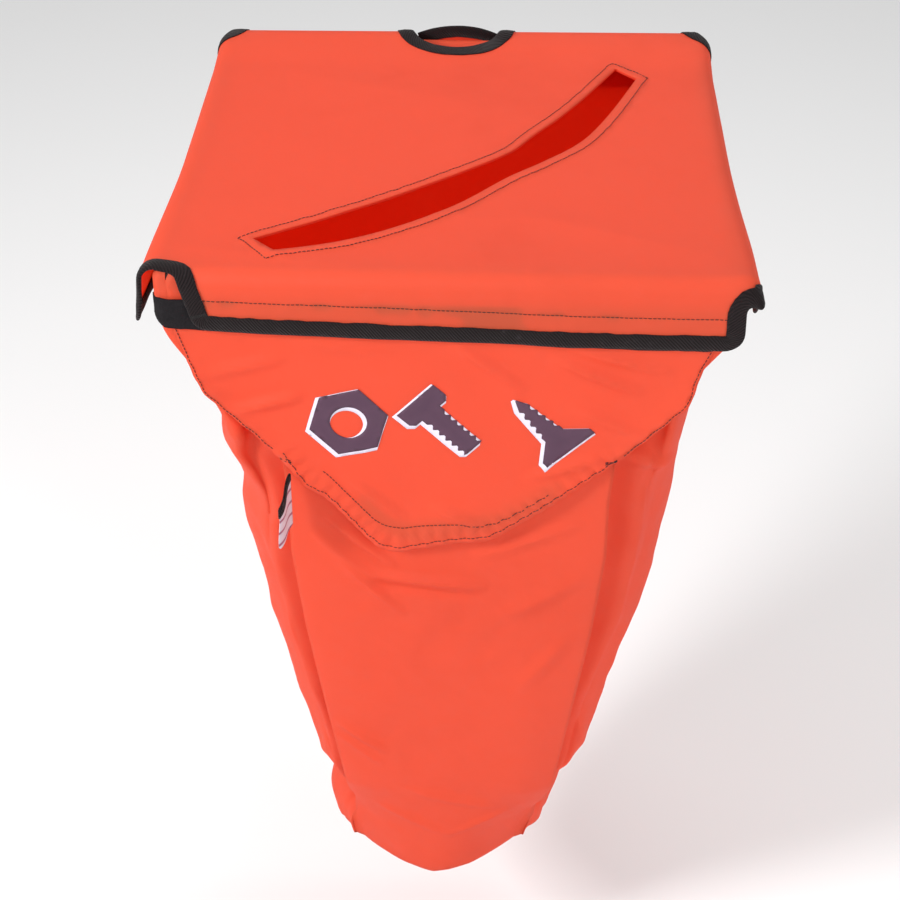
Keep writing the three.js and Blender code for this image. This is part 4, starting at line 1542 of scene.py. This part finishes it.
@dataclass
class Yoke:
    """The upper front panel with its V-shaped closure flap, cut in one."""

    sizes: Measures
    bag: Bag
    row_gap: tuple[Pair, ...] = (
        (-100.0, 20.0), (-44.0, 20.0), (-5.0, 16.0), (22.0, 13.0), (50.0, 8.5), (84.0, 8.0),
    )

    def __post_init__(self) -> None:
        """Cuts the sheet."""
        self.hem_tree = tree_of(resample([(x, z + 12.0) for x, z in smooth_path(self.hem(), 6)], 2.0, False))
        self.sheet = Sheet(self.place, self.outline(), (), 4.0, 1.0)

    def place(self, a: float, b: float) -> Vector:
        """Flat x and height to space; heights above 0 wrap over the front tube."""
        s = self.sizes
        if b <= 0:
            y = s.wall_front - self.relief(a, b)
            return Vector((a, y, b))
        turn = b / s.wall
        if turn < math.pi:
            return Vector((a, s.front - s.wall * math.cos(turn), s.wall * math.sin(turn)))
        return Vector((a, s.front + s.wall, -(b - math.pi * s.wall)))

    def relief(self, a: float, b: float) -> float:
        """How far the panel stands out of its plane."""
        s = self.sizes
        below = ease((-b - 46) / 30)
        edge = self.bag.level(b / s.base, 1)[0]
        near = hump((edge - abs(a)) / 22) if b > self.bag.hem_z(a) else 0.0
        lift = (1.5 * rough(a, b, 62.0, 51.0) + 1.3 * crumple(a * 0.7, b + a * 0.3, 44.0, 53.0)) * below
        lift += (1.4 + 0.8 * math.sin(b * 0.42 + math.copysign(1.3, a))) * near * below
        _, along, off = self.hem_tree.find((a, b, 0))
        lift += 2.2 * ease((b - self.bag.hem_z(a) - 40) / -30) * ease((-b - 150) / 40)
        waves = math.sin(along * 1.05 + 5.0 * rough(along * 2.0, 0.0, 50.0, 8.0))
        lift += 1.3 * waves * hump(off / 13) * below
        return lift + sum(c.at(a, b) for c in self.bag.yoke_creases)

    def hem(self) -> list[Pair]:
        """The V-shaped lower edge, from left to right."""
        s = self.sizes
        return [(a * s.wall_x, b * s.base) for a, b in self.bag.hem]

    def outline(self) -> list[Pair]:
        """The cut, anticlockwise from the left top corner."""
        s = self.sizes
        top = math.pi * s.wall + 14
        shares = (0.0, 0.036, 0.064, 0.086, 0.14, 0.163, 0.212)
        left = [(-self.bag.level(h, 1)[0] - 2.5 * ease((h - 0.04) / 0.05), h * s.base) for h in shares]
        hem = self.hem()
        right = [(-x, z) for x, z in reversed(left)]
        low = smooth_path(left[-4:], 5)
        path = [(-208, top), (-208, 8), *left[:3], *low, *smooth_path(hem[1:-1], 5)]
        path += [(-x, z) for x, z in reversed(low)] + list(right[-3:]) + [(208, 8), (208, top)]
        return [(x - self.tuck(x, z), z) for x, z in path]

    def tuck(self, x: float, z: float) -> float:
        """How much further in the right-hand edge lies than the left."""
        return 6.0 * hump((z / self.sizes.base - 0.1) / 0.07) if x > 0 else 0.0

    def seams(self) -> MeshData:
        """Topstitching: the two hem rows, the side seams and the bar tacks."""
        s = self.sizes
        data = MeshData()
        hem = smooth_path(self.hem(), 6)
        lower = [(x, z + 5.0) for x, z in hem]
        runs = [lower, [(x, z + table(self.row_gap, x)) for x, z in lower if -100 < x < 84]]
        runs.append([(112, -0.236 * s.base), (131, -0.217 * s.base)])
        for side in (-1, 1):
            line = [
                (side * (self.bag.level(h, 1)[0] + 0.4), h * s.base)
                for h in (0.045, 0.086, 0.12, 0.14, 0.163, 0.19, 0.215)
            ]
            runs.append([(x - self.tuck(x, z), z) for x, z in smooth_path(line, 6)])
        for run in runs:
            part = stitch_run(self.sheet, run)
            data.add(part.verts, part.faces, part.cloth)
        for side in (-1, 1):
            x, z = side * (0.59 * s.wall_x - 2), 0.226 * s.base - 1
            for k in range(3):
                row = [(x - 5, z - 1 + k * 0.8), (x + 5, z + side * 3 + k * 0.8)]
                part = stitch_run(self.sheet, row, size=0.3)
                data.add(part.verts, part.faces, part.cloth)
        return data

    def build(self) -> None:
        """Makes the panel, its stitching and the marks."""
        data = self.sheet.mesh()
        cloth = data.object("front_yoke_cloth", Finish.ORANGE, 1.0)
        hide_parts("front_yoke_panel", "closure_flap")
        thread = self.seams().object("front_stitching", Finish.THREAD)
        for piece in (cloth, thread):
            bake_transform(piece)
        self.sheet.flat_size()
        self.sheet.flat_area()
        self.marks()
        log.info("yoke: %d faces", len(data.faces))

    def marks(self) -> None:
        """The three vinyl marks, cut to the outlines of the frame's own marks."""
        for name in ("bolt", "nut", "screw"):
            for prefix, finish, lift, slot in (
                ("mark", Finish.PLUM, 0.95, "vinyl_plum"), ("mark_backing", Finish.WHITE, 0.7, "vinyl_white"),
            ):
                self.decal(f"{prefix}_{name}", finish, lift)

    def decal(self, node: str, finish: Finish, lift: float) -> None:
        """Lays one mark's outline on the cloth."""
        rings = front_rings(frame["nodes"][node])
        rings.sort(key=lambda ring: -abs(ring_area(ring)))
        outline = rings[0] if ring_area(rings[0]) > 0 else rings[0][::-1]

        def on_cloth(a: float, b: float) -> Vector:
            """A point just above the panel."""
            return self.sheet.at(a, b, lift)

        sheet = Sheet(on_cloth, outline, rings[1:], 3.0)
        sheet.outline, sheet.holes = fine(outline), [fine(r) for r in rings[1:]]
        piece = sheet.mesh().object(f"{node}_film", finish, 0.25)
        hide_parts(node)
        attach(piece, "bag")


def fine(ring: Sequence[Pair]) -> list[Pair]:
    """A ring with every corner kept and no side over 3 mm."""
    result = []
    for p, q in zip(ring, list(ring[1:]) + [ring[0]]):
        count = max(1, math.ceil(math.dist(p, q) / 3))
        result += [(lerp(p[0], q[0], k / count), lerp(p[1], q[1], k / count)) for k in range(count)]
    return result


def ring_area(ring: Sequence[Pair]) -> float:
    """The signed area of a ring."""
    total = 0.0
    for (x0, y0), (x1, y1) in zip(ring, list(ring[1:]) + [ring[0]]):
        total += x0 * y1 - x1 * y0
    return total / 2


def front_rings(node: bpy.types.Object) -> list[list[Pair]]:
    """The outline rings of a flat CAD node, as its front face shows them.

    Args:
        node: a thin plate that faces the front.

    Returns:
        Closed rings of (x, z) in millimetres.
    """
    mesh = node.data
    face_y = min(v.co.y for v in mesh.vertices)

    def key(index: int) -> tuple[float, float]:
        """A vertex's rounded place, so that split corners meet."""
        co = mesh.vertices[index].co
        return round(co.x / MM, 3), round(co.z / MM, 3)

    edges: dict[tuple, int] = {}
    for face in mesh.polygons:
        if all(abs(mesh.vertices[i].co.y - face_y) < 1e-5 for i in face.vertices):
            ids = [key(i) for i in face.vertices]
            for a, b in zip(ids, ids[1:] + ids[:1]):
                edges[(a, b)] = edges.get((a, b), 0) + 1
    follow = {a: b for (a, b) in edges if (b, a) not in edges}
    rings = []
    while follow:
        start = next(iter(follow))
        ring, here = [], start
        while here in follow:
            ring.append(here)
            here = follow.pop(here)
        rings.append(ring)
    return rings


# ------------------------------------------------------------------ rear rim, label and hard parts


@dataclass
class RearRim:
    """The arched, bound upper edge of the rear panel."""

    sizes: Measures

    def build(self) -> None:
        """Makes the tab and its tape."""
        s = self.sizes
        low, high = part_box("rear_rim_tape")
        centre = (low.x + high.x) / 2 / MM
        half = (high.x - low.x) / 2 / MM - 3
        peak = high.z / MM - 1.4

        def place(a: float, b: float) -> Vector:
            """A sheet standing just behind the rear tube, leaning back a little."""
            lean = 1.5 * clamp((b - 4) / 12)
            return Vector((a, s.wall - 1.2 + lean + 0.4 * math.sin(a * 0.1), b))

        arch = []
        for i in range(25):
            x = centre + half * (1 - 2 * i / 24)
            arch.append((x, peak - 7.5 * ((x - centre) / half) ** 2))
        outline = arch + [(centre - half, 3.0), (centre + half, 3.0)]
        sheet = Sheet(place, outline, (), 3.0, -1.0)
        tab = sheet.mesh().object("rear_tab_cloth", Finish.INSIDE, 0.9)
        tape = Binding(9.5, 9.0).wrap(sheet, arch, False, 7.0).object("rear_rim_binding", Finish.TAPE)
        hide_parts("rear_rim_tape")
        for piece in (tab, tape):
            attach(piece, "bag")


@dataclass
class CornerStrips:
    """The ends of the loop strips, sewn round the front corners of the bag."""

    sizes: Measures

    def build(self) -> None:
        """Makes one bent strip on each front corner."""
        s = self.sizes
        low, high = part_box("loop_strip_front")
        top, bottom = high.z / MM, low.z / MM
        reach = high.x / MM
        face = low.y / MM - 0.2
        radius = 12.0
        straight = s.wall_x + 1.4 - radius - reach

        def bent(side: float) -> Place:
            """Along the front, round the corner and back along the side."""

            def place(a: float, b: float) -> Vector:
                """Distance along the strip and height to space."""
                sag = 0.7 * rough(a, b, 9.0, 20.0 + side)
                turn = clamp((a - straight) / radius, 0, math.pi / 2)
                past = max(0.0, a - straight - radius * math.pi / 2)
                x = reach + min(a, straight) + (radius + sag) * math.sin(turn)
                y = face + radius - (radius + sag) * math.cos(turn) + past
                return Vector((side * x, y, b))

            return place

        for side, name in ((-1.0, "left"), (1.0, "right")):
            long = straight + radius * math.pi / 2 + 2
            outline = [
                (-4, bottom - 1.5), (long * 0.6, bottom), (long, bottom + 11), (long - 1, top), (-4, top),
            ]
            ragged = [(x, y + 0.6 * rough(x, y, 4.0, 31.0)) for x, y in resample(outline, 3.0, True)]
            sheet = Sheet(bent(side), ragged, (), 3.0, side)
            piece = sheet.mesh().object(f"loop_strip_corner_{name}", Finish.STRIP, 1.0)
            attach(piece, "bag")


@dataclass
class Label:
    """The woven side label in the left seam."""

    sizes: Measures

    def build(self) -> None:
        """Makes the folded label, with a black band across its top that is painted shade."""
        joint = next(j for j in frame["joints"] if j["name"] == "label_swing")
        low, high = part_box("side_label")
        x0, y0 = joint["pos_m"][0] / MM, joint["pos_m"][1] / MM
        reach = math.hypot(high.x - low.x, high.y - low.y) / MM
        top, bottom = high.z / MM, low.z / MM
        heading = math.atan2((low.y - high.y), (low.x - high.x))

        def place(a: float, b: float) -> Vector:
            """Outward along the label, with a slight curl and droop."""
            turn = heading + 0.35 * math.sin(a / reach * 2.2) - 0.15
            fall = 3.0 * (a / reach) ** 2
            wave = 1.2 * math.sin(b * 0.09) * a / reach
            x = x0 + a * math.cos(turn) - wave * math.sin(turn)
            y = y0 + a * math.sin(turn) + wave * math.cos(turn)
            return Vector((x, y, b - fall))

        outline = rounded([
            (0.6, bottom + 6, 1), (reach, bottom + 1, 2), (reach, top - 17, 2), (0.6, top, 1),
        ])
        sheet = Sheet(place, outline, (), 2.0)
        # Painted shade: a black tape band across the label's top stands in for the shade on its upper edge
        # under the yoke hem.
        band = [(0.6, top - 5), (reach + 0.8, top - 22), (reach + 0.8, top - 13), (0.6, top + 1.5)]
        edge = Sheet(place, band, (), 2.0).mesh().object("side_label_shade_band", Finish.TAPE, 1.7)
        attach(edge, "label")
        piece = sheet.mesh().object("side_label_cloth", Finish.LABEL, 0.6)
        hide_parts("side_label")
        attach(piece, "label")
        sheet.flat_size()
        sheet.flat_area()


@dataclass
class HardParts:
    """CAD nodes that stay as they are and get a finish."""

    def build(self) -> None:
        """Dresses the tubes, elbows and hook-and-loop strips."""
        for name, node in sorted(frame["nodes"].items()):
            finish = None
            if name.startswith("frame_tube"):
                finish = Finish.ALLOY
            elif name.startswith("corner_elbow"):
                finish = Finish.PLASTIC
            elif "strip" in name:
                finish = Finish.STRIP
            if finish and not node.hide_render:
                node.data.materials.clear()
                node.data.materials.append(finish_of(finish))
                log.info("dressed %s as %s", name, finish.name)


# ------------------------------------------------------------------ studio


@dataclass
class Studio:
    """Floor, lights and camera."""

    sizes: Measures
    lens: float = 75.7
    down: float = 35.33
    yaw: float = -1.73
    roll: float = 0.2
    away: tuple[float, float, float] = (38.2, -1439.5, 705.3)

    def build(self) -> None:
        """Sets the scene round the bag."""
        self.floor()
        self.lights()
        self.camera()

    def floor(self) -> None:
        """A wide pale floor a little below the bag."""
        s = self.sizes
        z = (s.base - 160) * MM
        reach = 9.0
        mesh = bpy.data.meshes.new("studio_floor")
        corners = [(-reach, -reach, z), (reach, -reach, z), (reach, reach, z), (-reach, reach, z)]
        mesh.from_pydata(corners, [], [(0, 1, 2, 3)])
        mesh.materials.append(finish_of(Finish.FLOOR))
        floor = bpy.data.objects.new("studio_floor", mesh)
        bpy.context.scene.collection.objects.link(floor)

    def lights(self) -> None:
        """Soft light from above and both sides, over a white surround."""
        world = bpy.data.worlds.new("studio")
        world.use_nodes = True
        world.node_tree.nodes["Background"].inputs[0].default_value = (1, 1, 1, 1)
        world.node_tree.nodes["Background"].inputs[1].default_value = 0.52
        bpy.context.scene.world = world
        target = Vector((0, self.sizes.middle * MM, -0.2))
        for name, spot, size, power in (
            ("key_light", (-2.0, -1.5, 1.1), 0.6, 64.0),
            ("fill_light", (1.7, -2.3, 0.35), 1.4, 28.0),
            ("top_light", (0.4, 0.6, 2.4), 1.2, 27.0),
        ):
            lamp = bpy.data.lights.new(name, "AREA")
            lamp.shape = "SQUARE"
            lamp.size = size
            lamp.energy = power
            made = bpy.data.objects.new(name, lamp)
            made.location = spot
            made.rotation_mode = "QUATERNION"
            made.rotation_quaternion = (target - Vector(spot)).to_track_quat("-Z", "Y")
            bpy.context.scene.collection.objects.link(made)

    def camera(self) -> None:
        """A long lens above the front, looking down on the lid."""
        s = self.sizes
        lens = bpy.data.cameras.new("camera")
        lens.lens = self.lens
        lens.sensor_width = 36.0
        made = bpy.data.objects.new("camera", lens)
        e, yaw, roll = (math.radians(v) for v in (self.down, self.yaw, self.roll))
        ahead = Vector((math.sin(yaw) * math.cos(e), math.cos(yaw) * math.cos(e), -math.sin(e)))
        right = Vector((math.cos(yaw), -math.sin(yaw), 0))
        up = right.cross(ahead)
        right, up = (
            right * math.cos(roll) + up * math.sin(roll), up * math.cos(roll) - right * math.sin(roll),
        )
        spot = Vector(self.away) + Vector((0, s.middle, s.top + 0.5))
        turn = Matrix((right, up, -ahead)).transposed().to_4x4()
        made.matrix_world = Matrix.Translation(spot * MM) @ turn
        bpy.context.scene.collection.objects.link(made)
        bpy.context.scene.camera = made
        bpy.context.scene.view_settings.view_transform = "Standard"


def main() -> None:
    logging.basicConfig(level=logging.INFO, format="%(name)s: %(message)s")
    sizes = Measures.read()
    Studio(sizes).build()
    bag = Bag(sizes)
    bag.build()
    Yoke(sizes, bag).build()
    Lid(sizes).build()
    RearRim(sizes).build()
    CornerStrips(sizes).build()
    Label(sizes).build()
    HardParts().build()


if __name__ == "__main__":
    main()
